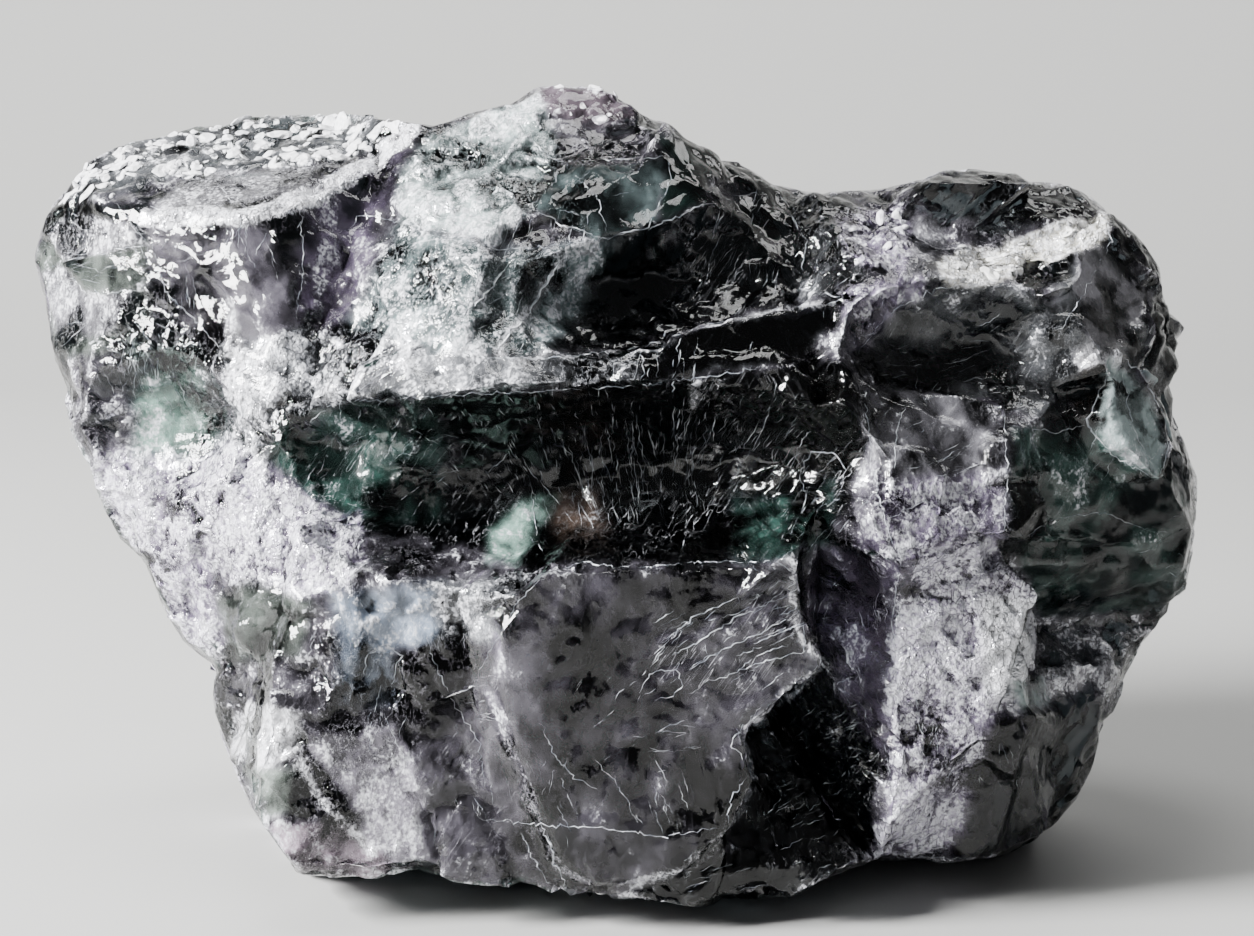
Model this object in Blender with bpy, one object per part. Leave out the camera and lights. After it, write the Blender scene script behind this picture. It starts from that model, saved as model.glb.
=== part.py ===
"""Fluorite crystal: one broken lump of massive fluorite, 134 mm wide, standing on a flat cleavage face.

The stone is one solid. Its surface is described from its heart: along each ray from the heart, the
stone ends at the nearest of its cleavage faces, its outline and its conchoidal hollows, and is carried
further out where a ledge, a column or a boss stands proud.

Lengths are in millimetres, in the front frame: across to the right, up, and out towards someone who
looks at the stone's front and slightly down on it. The last step turns this frame upright in metres.
"""
import math

import bmesh
import bpy
import numpy as np

MM = 0.001

# Driving sizes
# The widths of the outline below as the stone has it and as it is drawn
STONE_WIDTH = 130.0
DRAWN_WIDTH = 130.0
SIZE = STONE_WIDTH / DRAWN_WIDTH
VIEW_DIP = math.radians(10.0)
EYE_DISTANCE = 331.0
HEART = np.array([1.2, 0.0, -8.0])
HEART_HEIGHT = 43.6 + HEART[2] * math.sin(VIEW_DIP)

# Mesh density
SPHERE_SUBDIVISIONS = 7
TARGET_TRIANGLES = 8800
SHORTEST_REACH = 12.0
# Vertices closer to the resting face than this lie on it
FLOOR_SNAP = 0.05

# The outline from the front, clockwise from the left tip: across, up
OUTLINE = (
    (-65.1, 23.0), (-64.6, 25.7), (-63.0, 29.4), (-61.4, 31.1), (-58.8, 34.4), (-55.4, 36.0),
    (-51.0, 36.9), (-45.9, 38.5), (-41.5, 39.1), (-36.4, 39.3), (-30.3, 39.8), (-27.3, 39.6),
    (-26.4, 38.9), (-22.8, 38.5), (-20.6, 38.1), (-16.3, 39.6), (-11.6, 40.8), (-8.9, 42.5),
    (-4.6, 42.7), (-0.4, 42.0), (3.2, 39.1), (5.8, 38.5), (9.4, 36.0), (13.9, 34.2),
    (17.8, 31.5), (22.2, 30.7), (27.5, 31.0), (32.3, 31.7), (35.7, 33.1), (40.1, 33.8),
    (44.6, 33.3), (45.9, 32.0), (49.6, 31.7), (53.2, 30.2), (55.4, 28.4), (58.6, 25.5),
    (60.6, 22.4), (61.1, 18.8), (61.7, 17.2), (63.5, 16.0), (64.2, 12.1), (61.8, 6.3),
    (63.3, 3.1), (64.8, -1.3), (64.5, -8.0), (63.7, -13.1), (60.6, -17.2), (59.2, -18.7),
    (56.9, -22.8), (56.1, -25.9), (55.9, -27.6), (54.1, -28.4), (53.4, -32.6), (51.6, -36.6),
    (48.5, -40.2), (42.9, -43.4), (37.3, -44.0), (28.6, -44.0), (23.9, -45.6), (19.5, -48.3),
    (13.9, -48.5), (9.4, -49.1), (2.7, -48.1), (-6.3, -48.0), (-10.7, -47.0), (-18.6, -46.1),
    (-22.5, -44.7), (-27.5, -45.8), (-35.3, -45.4), (-36.8, -43.6), (-40.6, -38.2), (-42.3, -34.3),
    (-44.0, -30.4), (-45.2, -25.9), (-45.4, -21.7), (-48.7, -19.2), (-51.0, -14.8), (-52.7, -10.3),
    (-55.4, -8.0), (-57.5, -4.1), (-58.8, 0.3), (-61.5, 5.4), (-62.2, 8.9), (-62.9, 13.2),
    (-63.9, 18.8),
)

# Cleavage faces that close the stone's back: turn to the right, tilt up, a point that the face holds
BACK_FACES = (
    (178, 12, (0, 0, -40)),
    (-176, -16, (0, -36, -34)),
    (-104, 14, (-67, 14, -16)),
    (100, 4, (67, 0, -18)),
    (-147, 12, (-44, 0, -35)),
    (-144, -24, (-38, -28, -27)),
    (148, 8, (44, 0, -36)),
    (149, -26, (40, -30, -28)),
)

# The stone's blocks, each a hull of cleavage faces. The first holds the heart, the others lean on it
BLOCKS = {
    "peak": (
        (-8, 47, (-8, 28, 15)),
        (-42, 30, (-22, 24, 14)),
        (8, 38, (-1, 29, 15)),
        (48, 40, (10, 31, 9)),
        (-6, 24, (-10, 13, 25)),
        (0, -4, (0, 0, 26.5)),
        (74, 5, (26, 16, 2)),
        (-75, 10, (-36, 8, 0)),
        (150, 78, (-4, 43.5, -6)),
        (172, 46, (0, 34, -26)),
    ),
    "left_shoulder": (
        (-12, 60, (-42, 30, 6)),
        (-24, 4, (-42, 18, 12)),
        (-52, 4, (-60, 10, 2)),
        (-60, 36, (-61, 31, -4)),
        (-36, -18, (-48, -6, 8)),
        (-58, -36, (-50, -16, -2)),
        (40, 12, (-34, 20, 13)),
        (-158, 44, (-42, 37, -26)),
    ),
    "right_lobe": (
        (10, 58, (42, 29, 3)),
        (18, 14, (40, 16, 20)),
        (58, 6, (59, 12, 8)),
        (50, 40, (55, 24, 7)),
        (-62, 24, (21, 22, 12)),
        (30, -50, (50, -18, 4)),
        (165, 50, (40, 30, -16)),
        (128, 30, (56, 20, -16)),
    ),
    "column": (
        (14, -6, (34, -10, 21)),
        (-58, 4, (26.5, -10, 17)),
        (70, 4, (43, -10, 15)),
        (16, -30, (34, -34, 17)),
        (10, 60, (34, 4, 19)),
        (180, 0, (0, 0, -12)),
    ),
    "lower_right": (
        (40, -14, (48, -26, 9)),
        (70, -18, (54, -26, 2)),
        (40, -44, (46, -38, 4)),
        (20, 50, (50, -16, 0)),
        (-70, 0, (20, -30, 0)),
    ),
    "foot": (
        (2, -8, (0, -18, 27)),
        (4, -28, (0, -34, 23.5)),
        (-34, -10, (-18, -24, 22)),
        (72, -6, (19, -20, 20)),
        (-50, -28, (-36, -32, 8)),
        (-20, -50, (-28, -44, 6)),
        (0, 80, (0, -8, 24)),
    ),
}

# Conchoidal hollows, each the near side of an ellipsoid: name, centre, half sizes, roll
HOLLOWS = (
    ("upper_bowl", (9, 21, 37), (25, 10.5, 26), 9),
    ("upper_bowl_far", (14, 25, 30), (13, 8, 20), 12),
    ("main_bowl", (-5, -1.6, 38), (35, 11.2, 26), 4),
    ("main_bowl_left", (-29, 1, 35), (14, 9.5, 21), -12),
    ("dark_oval", (39.5, 12.8, 40), (20.5, 11.8, 26), -8),
    ("valley", (24.2, -20, 36), (5.5, 20, 23), 6),
    ("left_waist", (-52, 4, 26), (14, 13, 22), 12),
    ("lobe_pit", (47, 22.5, 22), (6, 4, 12), 10),
    ("crevice", (49.5, 7.5, 22), (3.2, 4.2, 13), 20),
    ("foot_arch", (-22, -52, 14), (6.5, 7.5, 20), 0),
    ("rear_arch", (34, -55, 6), (16, 9.5, 26), 0),
    ("back_bowl", (16, 15, -64), (28, 21, 29), 20),
    ("back_low_bowl", (-24, -14, -60), (26, 19, 27), -15),
    ("back_right_bowl", (56, -6, -55), (20, 24, 24), 10),
    ("back_left_bowl", (-68, 12, -44), (20, 17, 24), -20),
    ("back_top_bowl", (-14, 46, -38), (22, 16, 20), 0),
    ("left_side_bowl", (-78, -8, -20), (22, 20, 20), 0),
    ("right_side_bowl", (80, -10, -24), (22, 17, 19), 0),
    ("right_side_low_bowl", (66, -40, -12), (18, 17, 20), 20),
)

# Straight-sided cuts: name, how deep (out), floor turn and tilt, corners (across, up)
CUTS = (
    ("recess", 3.5, 18, 6, ((21.5, -20.5), (28.5, -31), (27, -41), (11.0, -42.5), (11.5, -36), (13.5, -28))),
    ("recess_step", 12, 4, -8, ((24, -17), (29, -27), (25, -33), (14, -29))),
    ("column_side", 10.5, 32, -4, ((42.5, 8), (70, 12), (70, -18), (46, -17))),
    ("lobe_shelf", 3.5, 8, 20, ((28, 27.5), (33, 23.5), (52, 26.5), (60, 32), (60, 45), (28, 45))),
    ("left_crevice", 2, -40, 10, ((-70, 28), (-49, 28.2), (-49, 25.6), (-70, 24))),
    ("slab_right_edge", 20, 10, -6, ((19, -9), (26, -9), (26, -24), (21, -21))),
)

# How far out the ledges below begin, behind the surface that they stand on
LEDGE_ROOT = -4.0
# Straight-sided ledges: name, how far out, face turn and tilt, corners (across, up)
LEDGES = (
    ("ledge_left", 24.5, -8, 6, ((-28, 7.0), (-8, 8.1), (-6, 12.0), (-21, 12.6), (-27, 10.5))),
    ("ledge_middle", 25.5, 4, 10, ((-9, 8.0), (5, 8.9), (9, 15.0), (2, 12.6), (-9, 11.9))),
    ("ledge_right", 24.5, 14, 14, ((4, 8.8), (15, 10.4), (22, 12.2), (24.5, 17.6), (9, 15.0), (5, 13.4))),
    ("flake", 15.5, 24, 6, ((54.1, 12.2), (50.8, 5.2), (53.2, 1.9), (58.1, -1.3), (59.4, 2.5), (59.1, 5.2),
                            (56.5, 10.0))),
    ("clear_lump", 16.5, 20, -12, ((39.5, -23), (43.5, -23), (43.8, -25.8), (40, -26))),
    ("top_cap", 2.0, 0, 70, ((33, 31), (34, 36), (46, 36), (46, 31))),
    ("slab_top", 28.8, 3, -8, ((-12.9, -15.6), (-7.7, -10.5), (16.9, -9.7), (18.5, -11.5), (21.2, -20.2),
                               (12.8, -27.4), (-11.8, -27.4))),
    ("slab_foot", 26.3, 3, -8, ((-12, -26), (12.8, -27.4), (14.3, -32.0), (11.8, -37.0), (7.7, -41.3),
                                (2.5, -42.8), (-5.7, -43.3))),
    ("column_head", 22.0, -14, 4, ((26.5, 8.2), (40.7, 7.1), (41, -8.1), (40, -14), (29.5, -14))),
    ("column_core", 23.0, 6, -6, ((29.5, -12), (41, -10), (44.6, -13.9), (44, -23.3), (38.8, -28),
                                  (34.6, -40.1), (28, -40.1), (28.5, -29))),
)

# Rounded bosses, each an ellipsoid: name, centre, half sizes, roll
BOSSES = (
    ("green_boss", (51, -5, -3), (13.5, 12.5, 16.5), 0),
    ("right_bulge", (57, 11, -4), (7.5, 7.5, 12), 0),
    ("column_foot", (33, -38, 2), (7.5, 7, 13), 0),
    ("knob", (54, -26, -4), (2.6, 2.6, 4), 0),
    ("grey_shoulder", (-34, -16, 2), (9, 7.5, 15), 0),
)

# Fracture facets: how many patches, how far a patch may shift the surface, how much its face may lean
FACET_PATCHES = (
    (130, 1.5, 0.22),
    (520, 0.5, 0.22),
)
FACET_SEED = 11
# How much of the facets each block has, and the smooth hollows, the ledges and the bosses
BLOCK_FACETS = {
    "peak": 0.8, "left_shoulder": 0.8, "right_lobe": 1.0, "column": 0.7, "lower_right": 0.8, "foot": 0.45,
}
BOSS_FACETS = 0.6
HOLLOW_FACETS = 0.2
LEDGE_FACETS = 0.15

# Rays flatter to a face than these are taken not to cross it, or not to be moved by it
PARALLEL = 1e-9
SHALLOWEST = 1e-6
FACET_MIN_SLOPE = 0.25
# A facet may stand proud by this share of what it may cut in
FACET_PROUD = 0.5
# The outline's nearest edge may lie this much nearer than its nearest corner
OUTLINE_SLACK = 0.9

# Round chips knocked off the back and the sides
CHIP_COUNT = 34
CHIP_RADIUS = (7.0, 20.0)
CHIP_DEPTH = (0.8, 2.6)
CHIP_FRONT_LIMIT = -0.15


def face_normal(turn, tilt):
    """Unit normal of a face turned to the right and tilted up, both in degrees."""
    turn, tilt = math.radians(turn), math.radians(tilt)
    return np.array([
        math.sin(turn) * math.cos(tilt),
        math.sin(tilt),
        math.cos(turn) * math.cos(tilt),
    ])


def hull_span(rays, faces):
    """Where each ray enters and leaves the hull bounded by (normal, point) faces."""
    enter = np.zeros(len(rays))
    leave = np.full(len(rays), np.inf)
    for normal, point in faces:
        slope = rays @ normal
        gap = float(normal @ (np.asarray(point, dtype=float) - HEART))
        safe = np.where(np.abs(slope) < PARALLEL, PARALLEL, slope)
        crossing = gap / safe
        leave = np.where(safe > 0, np.minimum(leave, crossing), leave)
        enter = np.where(safe < 0, np.maximum(enter, crossing), enter)
        if gap < 0:
            leave = np.where(np.abs(slope) < PARALLEL, -np.inf, leave)
    return enter, leave


def ellipsoid_span(rays, centre, half_sizes, roll):
    """Where each ray enters and leaves an ellipsoid rolled about the out axis, in degrees."""
    angle = math.radians(roll)
    turn = np.array([
        [math.cos(angle), math.sin(angle), 0.0],
        [-math.sin(angle), math.cos(angle), 0.0],
        [0.0, 0.0, 1.0],
    ])
    sizes = np.asarray(half_sizes, dtype=float)
    step = (rays @ turn.T) / sizes
    start = (turn @ (HEART - np.asarray(centre, dtype=float))) / sizes
    a = np.sum(step * step, axis=1)
    b = step @ start
    c = float(start @ start) - 1.0
    root = b * b - a * c
    hit = root > 0
    root = np.sqrt(np.maximum(root, 0))
    enter = np.where(hit, (-b - root) / a, np.inf)
    leave = np.where(hit, (-b + root) / a, -np.inf)
    return enter, leave


def prism_faces(corners, cap_normal, cap_point, cap_sign):
    """Faces of the upright prism over the corners, capped by one plane that faces out or in."""
    points = np.array(corners, dtype=float)
    middle = points.mean(axis=0)
    faces = []
    for first, second in zip(points, np.roll(points, -1, axis=0)):
        along = second - first
        side = np.array([along[1], -along[0], 0.0])
        side /= np.linalg.norm(side)
        if side[:2] @ (first - middle) < 0:
            side = -side
        faces.append((side, (first[0], first[1], 0.0)))
    faces.append((cap_sign * cap_normal, cap_point))
    return faces


def carve(reach, span):
    """Takes away what lies between enter and leave, and tells where it did."""
    enter, leave = span
    inside = (enter < leave) & (enter < reach) & (leave > reach) & (enter > 0)
    return np.where(inside, np.maximum(enter, SHORTEST_REACH), reach), inside


def build_up(reach, span):
    """Carries the stone out to where each ray leaves the added form, and tells where it did."""
    enter, leave = span
    inside = (enter < leave) & (leave > reach) & (leave > 0) & np.isfinite(leave)
    return np.where(inside, leave, reach), inside


def outline_reach(rays):
    """How far each ray runs before it passes the outline as the eye in front sees it."""
    points = np.array(OUTLINE)
    points[:, 0] -= HEART[0]
    bearing = np.arctan2(points[:, 1], points[:, 0])
    radius = np.hypot(points[:, 0], points[:, 1])
    order = np.argsort(bearing)
    across_up = np.hypot(rays[:, 0], rays[:, 1])
    ray_bearing = np.arctan2(rays[:, 1], rays[:, 0])
    # A straight edge between two outline points is a straight line in 1 / radius against bearing
    starts = points[order]
    ends = np.roll(starts, -1, axis=0)
    index = np.searchsorted(bearing[order], ray_bearing, side="right") - 1
    first, second = starts[index], ends[index]
    direction = np.stack([np.cos(ray_bearing), np.sin(ray_bearing)], axis=1)
    edge = second - first
    cross_edge = first[:, 0] * edge[:, 1] - first[:, 1] * edge[:, 0]
    cross_ray = direction[:, 0] * edge[:, 1] - direction[:, 1] * edge[:, 0]
    seen_radius = cross_edge / np.where(np.abs(cross_ray) < PARALLEL, PARALLEL, cross_ray)
    seen_radius = np.clip(seen_radius, radius.min() * OUTLINE_SLACK, radius.max())
    eye_gap = EYE_DISTANCE - HEART[2]
    spread = EYE_DISTANCE * across_up + seen_radius * rays[:, 2]
    return np.where(spread > SHALLOWEST, seen_radius * eye_gap / np.maximum(spread, SHALLOWEST), np.inf)


def floor_reach(rays):
    """How far each ray runs before it meets the plane that the stone stands on."""
    down = -(rays[:, 1] * math.cos(VIEW_DIP) + rays[:, 2] * math.sin(VIEW_DIP))
    return np.where(down > SHALLOWEST, HEART_HEIGHT / np.maximum(down, SHALLOWEST), np.inf)


def faces_of(block):
    """Normals and points of a block's faces, with the faces of the stone's back."""
    return [(face_normal(turn, tilt), point) for turn, tilt, point in block + BACK_FACES]


def stone_reach(rays):
    """How far the stone goes along each ray from its heart, and how smooth it is there."""
    reach = np.full(len(rays), SHORTEST_REACH)
    facets = np.ones(len(rays))
    for name, block in BLOCKS.items():
        reach, added = build_up(reach, hull_span(rays, faces_of(block)))
        facets[added] = BLOCK_FACETS[name]
    for _, centre, half_sizes, roll in BOSSES:
        reach, added = build_up(reach, ellipsoid_span(rays, centre, half_sizes, roll))
        facets[added] = BOSS_FACETS
    for _, centre, half_sizes, roll in HOLLOWS:
        reach, hollowed = carve(reach, ellipsoid_span(rays, centre, half_sizes, roll))
        facets[hollowed] = HOLLOW_FACETS
    for _, depth, turn, tilt, corners in CUTS:
        middle = np.mean(np.array(corners), axis=0)
        cap = prism_faces(corners, face_normal(turn, tilt), (middle[0], middle[1], depth), -1)
        reach, _ = carve(reach, hull_span(rays, cap))
    for _, height, turn, tilt, corners in LEDGES:
        middle = np.mean(np.array(corners), axis=0)
        cap = prism_faces(corners, face_normal(turn, tilt), (middle[0], middle[1], height), 1)
        cap.append((np.array([0.0, 0.0, -1.0]), (0.0, 0.0, LEDGE_ROOT)))
        reach, added = build_up(reach, hull_span(rays, cap))
        facets[added] = LEDGE_FACETS
    return np.minimum(reach, outline_reach(rays)), facets


def chip_reach(rays, reach, random):
    """Knocks round chips off the back and the sides."""
    backward = np.flatnonzero(rays[:, 2] < CHIP_FRONT_LIMIT)
    for _ in range(CHIP_COUNT):
        place = random.choice(backward)
        radius = random.uniform(*CHIP_RADIUS)
        depth = random.uniform(*CHIP_DEPTH)
        centre = HEART + rays[place] * (reach[place] + radius - depth)
        reach, _ = carve(reach, ellipsoid_span(rays, centre, (radius, radius, radius), 0))
    return reach


def patch_reach(rays, reach, facets, normals, count, shift, lean, random):
    """Breaks the surface into flat patches, each leaning a little its own way."""
    points = HEART + rays * reach[:, None]
    seeds = random.choice(len(rays), size=count, replace=False)
    nearest = np.zeros(len(rays), dtype=int)
    shortest = np.full(len(rays), np.inf)
    for number, seed in enumerate(seeds):
        distance = np.sum((points - points[seed]) ** 2, axis=1)
        closer = distance < shortest
        nearest[closer] = number
        shortest[closer] = distance[closer]
    patch_normals = normals[seeds] + random.normal(0.0, lean, (count, 3))
    patch_normals /= np.linalg.norm(patch_normals, axis=1)[:, None]
    own_normal = patch_normals[nearest]
    own_point = points[seeds][nearest]
    slope = np.sum(rays * own_normal, axis=1)
    gap = np.sum((own_point - HEART) * own_normal, axis=1)
    flat = np.where(slope > FACET_MIN_SLOPE, gap / np.maximum(slope, FACET_MIN_SLOPE), reach)
    return reach + facets * np.clip(flat - reach, -shift, shift * FACET_PROUD)


def vertex_normals(mesh, points):
    """Normals of the surface through the moved points."""
    mesh.vertices.foreach_set("co", points.astype(np.float32).ravel())
    mesh.update()
    normals = np.empty(len(points) * 3, dtype=np.float32)
    mesh.vertex_normals.foreach_get("vector", normals)
    return normals.reshape(-1, 3).astype(float)


def upright(points):
    """Turns points of the front frame upright, in metres, with the resting face at height zero."""
    across, up, out = points.T
    back = up * math.sin(VIEW_DIP) - out * math.cos(VIEW_DIP)
    height = HEART_HEIGHT + up * math.cos(VIEW_DIP) + (out - HEART[2]) * math.sin(VIEW_DIP)
    return np.stack([across, back, height], axis=1) * SIZE * MM


def shape_stone(mesh):
    """Moves the vertices of a unit sphere out to the surface of the stone."""
    rays = np.empty(len(mesh.vertices) * 3, dtype=np.float32)
    mesh.vertices.foreach_get("co", rays)
    rays = rays.reshape(-1, 3).astype(float)
    rays /= np.linalg.norm(rays, axis=1)[:, None]
    reach, facets = stone_reach(rays)
    random = np.random.default_rng(FACET_SEED)
    reach = chip_reach(rays, reach, random)
    for count, shift, lean in FACET_PATCHES:
        normals = vertex_normals(mesh, HEART + rays * reach[:, None])
        reach = patch_reach(rays, reach, facets, normals, count, shift, lean, random)
        reach = np.minimum(reach, outline_reach(rays))
    floor = floor_reach(rays)
    on_floor = floor <= reach
    points = upright(HEART + rays * np.minimum(reach, floor)[:, None])
    points[on_floor, 2] = 0.0
    mesh.vertices.foreach_set("co", points.astype(np.float32).ravel())
    mesh.update()


def fluorite_material():
    """Clear purple-green fluorite."""
    material = bpy.data.materials.new("fluorite")
    material.use_nodes = True
    shader = material.node_tree.nodes["Principled BSDF"]
    shader.inputs["Base Color"].default_value = (0.16, 0.17, 0.19, 1.0)
    shader.inputs["Roughness"].default_value = 0.15
    shader.inputs["Metallic"].default_value = 0.0
    shader.inputs["IOR"].default_value = 1.434
    material.diffuse_color = (0.16, 0.17, 0.19, 1.0)
    return material


def thin_out(stone):
    """Joins the small triangles of the flat places into large ones."""
    modifier = stone.modifiers.new("thin_out", "DECIMATE")
    modifier.decimate_type = "COLLAPSE"
    modifier.ratio = TARGET_TRIANGLES / len(stone.data.polygons)
    modifier.use_collapse_triangulate = True
    evaluated = stone.evaluated_get(bpy.context.evaluated_depsgraph_get())
    thinned = bpy.data.meshes.new_from_object(evaluated)
    stone.modifiers.clear()
    heavy = stone.data
    stone.data = thinned
    bpy.data.meshes.remove(heavy)
    thinned.name = stone.name


def centre_on_base(mesh):
    """Puts the middle of the stone's box over the origin."""
    points = np.empty(len(mesh.vertices) * 3, dtype=np.float32)
    mesh.vertices.foreach_get("co", points)
    points = points.reshape(-1, 3)
    middle = (points.min(axis=0) + points.max(axis=0)) / 2
    points[:, :2] -= middle[:2]
    points[points[:, 2] < FLOOR_SNAP * MM, 2] = 0.0
    mesh.vertices.foreach_set("co", points.ravel())
    mesh.update()


def main():
    """Builds the stone in its own collection."""
    for leftover in list(bpy.data.objects):
        bpy.data.objects.remove(leftover, do_unlink=True)
    collection = bpy.data.collections.new("fluorite_crystal")
    bpy.context.scene.collection.children.link(collection)

    sphere = bmesh.new()
    bmesh.ops.create_icosphere(sphere, subdivisions=SPHERE_SUBDIVISIONS, radius=1.0)
    mesh = bpy.data.meshes.new("fluorite_crystal")
    sphere.to_mesh(mesh)
    sphere.free()

    shape_stone(mesh)
    stone = bpy.data.objects.new("fluorite_crystal", mesh)
    collection.objects.link(stone)
    thin_out(stone)
    centre_on_base(stone.data)
    stone.data.materials.append(fluorite_material())


main()
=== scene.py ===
"""Fluorite crystal specimen: a broken lump of purple and green fluorite, dressed around its solid.

Lengths of the stone's form are millimetres in its front frame: across to the right, up, and out
towards the eye that looks at its front. Places of its finish are pixels of the reference photograph,
1254 wide and 936 high, as that eye sees them.
"""
import logging
import math
from dataclasses import dataclass, field
from enum import Enum
from typing import Any

import bmesh
import bpy
import numpy as np
from mathutils import Matrix, Vector, noise
from mathutils.bvhtree import BVHTree
from mathutils.kdtree import KDTree


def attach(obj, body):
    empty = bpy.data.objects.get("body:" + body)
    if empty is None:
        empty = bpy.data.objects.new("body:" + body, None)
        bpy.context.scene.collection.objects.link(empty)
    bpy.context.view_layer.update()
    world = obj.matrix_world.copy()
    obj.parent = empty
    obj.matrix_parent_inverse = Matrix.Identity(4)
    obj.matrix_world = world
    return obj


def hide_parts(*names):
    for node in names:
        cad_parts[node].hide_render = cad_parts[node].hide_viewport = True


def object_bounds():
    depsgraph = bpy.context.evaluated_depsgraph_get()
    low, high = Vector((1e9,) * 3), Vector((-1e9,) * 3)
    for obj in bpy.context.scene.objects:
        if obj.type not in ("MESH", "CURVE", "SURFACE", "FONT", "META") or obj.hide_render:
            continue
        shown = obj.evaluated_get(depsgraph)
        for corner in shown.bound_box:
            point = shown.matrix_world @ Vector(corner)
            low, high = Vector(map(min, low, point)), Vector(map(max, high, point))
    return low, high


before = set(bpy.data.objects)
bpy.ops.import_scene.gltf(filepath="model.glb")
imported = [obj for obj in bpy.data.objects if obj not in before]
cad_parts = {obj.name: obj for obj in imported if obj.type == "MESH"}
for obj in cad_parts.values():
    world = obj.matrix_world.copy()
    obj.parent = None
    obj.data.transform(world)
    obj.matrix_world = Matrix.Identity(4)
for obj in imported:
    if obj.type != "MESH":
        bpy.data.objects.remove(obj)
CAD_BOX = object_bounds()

LOG = logging.getLogger("fluorite")
Array = np.ndarray
Point = tuple[float, float]
Span = tuple[float, float]
Triple = tuple[float, float, float]

MM = 0.001
MERGE_DISTANCE = 1e-7
FLUORITE_IOR = 1.434

# The eye looks down by VIEW_DIP, from EYE_DISTANCE, at a point AIM_HEIGHT above the floor. The stone was
# shaped outwards from its heart, and CENTRING then moved it to the middle of the frame.
VIEW_DIP = math.radians(10.0)
EYE_DISTANCE = 331.0
AIM_HEIGHT = 43.6
HEART = np.array([1.2, 0.0, -8.0])
HEART_HEIGHT = AIM_HEIGHT + HEART[2] * math.sin(VIEW_DIP)
CENTRING = (-0.06, -3.507)
AIM = Vector((HEART[0] + CENTRING[0], CENTRING[1], AIM_HEIGHT)) * MM
LENS_MM = 85.0
SENSOR_MM = 36.0
PHOTO_SIZE = (1254, 936)
PIXELS_PER_SLOPE = LENS_MM / SENSOR_MM * PHOTO_SIZE[0]

# Where each field of noise is read, so that no two look alike
EDGE_SEEDS = (3.1, 9.7)
RIPPLE_SEEDS = (5.3, 1.9)
PATCH_SEEDS = (1.0, 4.0, 8.0)
STROKE_SEED = 12.4
BAND_SEED = 2.2
BACK_SEED = 7.7
PIT_SEED = 6.6
CLOUD_SEED = 15.2
CRACK_SEED = 4.9


class Tint(Enum):
    """Body colours of the stone."""

    BLACK = (0.010, 0.012, 0.015)
    GREY = (0.22, 0.23, 0.25)
    MAUVE = (0.19, 0.175, 0.215)
    PURPLE = (0.098, 0.077, 0.124)
    LAVENDER = (0.33, 0.275, 0.41)
    SMOKE = (0.20, 0.195, 0.22)
    SLATE = (0.104, 0.096, 0.120)
    TEAL = (0.15, 0.205, 0.21)
    PALE_TEAL = (0.33, 0.41, 0.41)
    GREEN = (0.022, 0.058, 0.048)
    LEAF = (0.20, 0.33, 0.28)
    OLIVE = (0.21, 0.245, 0.22)
    BLUE = (0.20, 0.245, 0.32)
    PINK = (0.38, 0.30, 0.37)
    CREAM = (0.86, 0.83, 0.72)
    BROWN = (0.10, 0.07, 0.055)
    WHITE = (0.88, 0.88, 0.93)


@dataclass(frozen=True)
class Zone:
    """A region of the front with one finish.

    frost is how much of it is white crackle, haze how milky its body is, relief how broken it is, and
    soft how many pixels its edge fades over to either side.
    """

    name: str
    frost: float
    haze: float
    tint: Tint
    relief: float
    soft: float
    outline: tuple[Point, ...]


@dataclass(frozen=True)
class Stroke:
    """A white line on the front, with its width in pixels."""

    name: str
    frost: float
    width: float
    line: tuple[Point, ...]


@dataclass(frozen=True)
class Crack:
    """A sharp crack line of the front, with half its width in millimetres and its way in pixels."""

    name: str
    width: float
    way: tuple[Point, ...]


@dataclass(frozen=True)
class Fan:
    """A family of hairlines in one region of the front.

    angle is their slope in degrees, rising to the right, unless they run from a centre. spread is how
    far one may turn off it. length is in pixels, and width, half of each, in millimetres. There is
    one bundle of hairlines for every bundle of them in count.
    """

    name: str
    count: int
    angle: float
    spread: float
    length: tuple[float, float]
    width: float
    outline: tuple[Point, ...]
    centre: Point | None = None
    bundle: int = 9


# Finish of the front where no zone lies
BASE = Zone("base", 0.40, 0.14, Tint.MAUVE, 0.7, 5, ())

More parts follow.
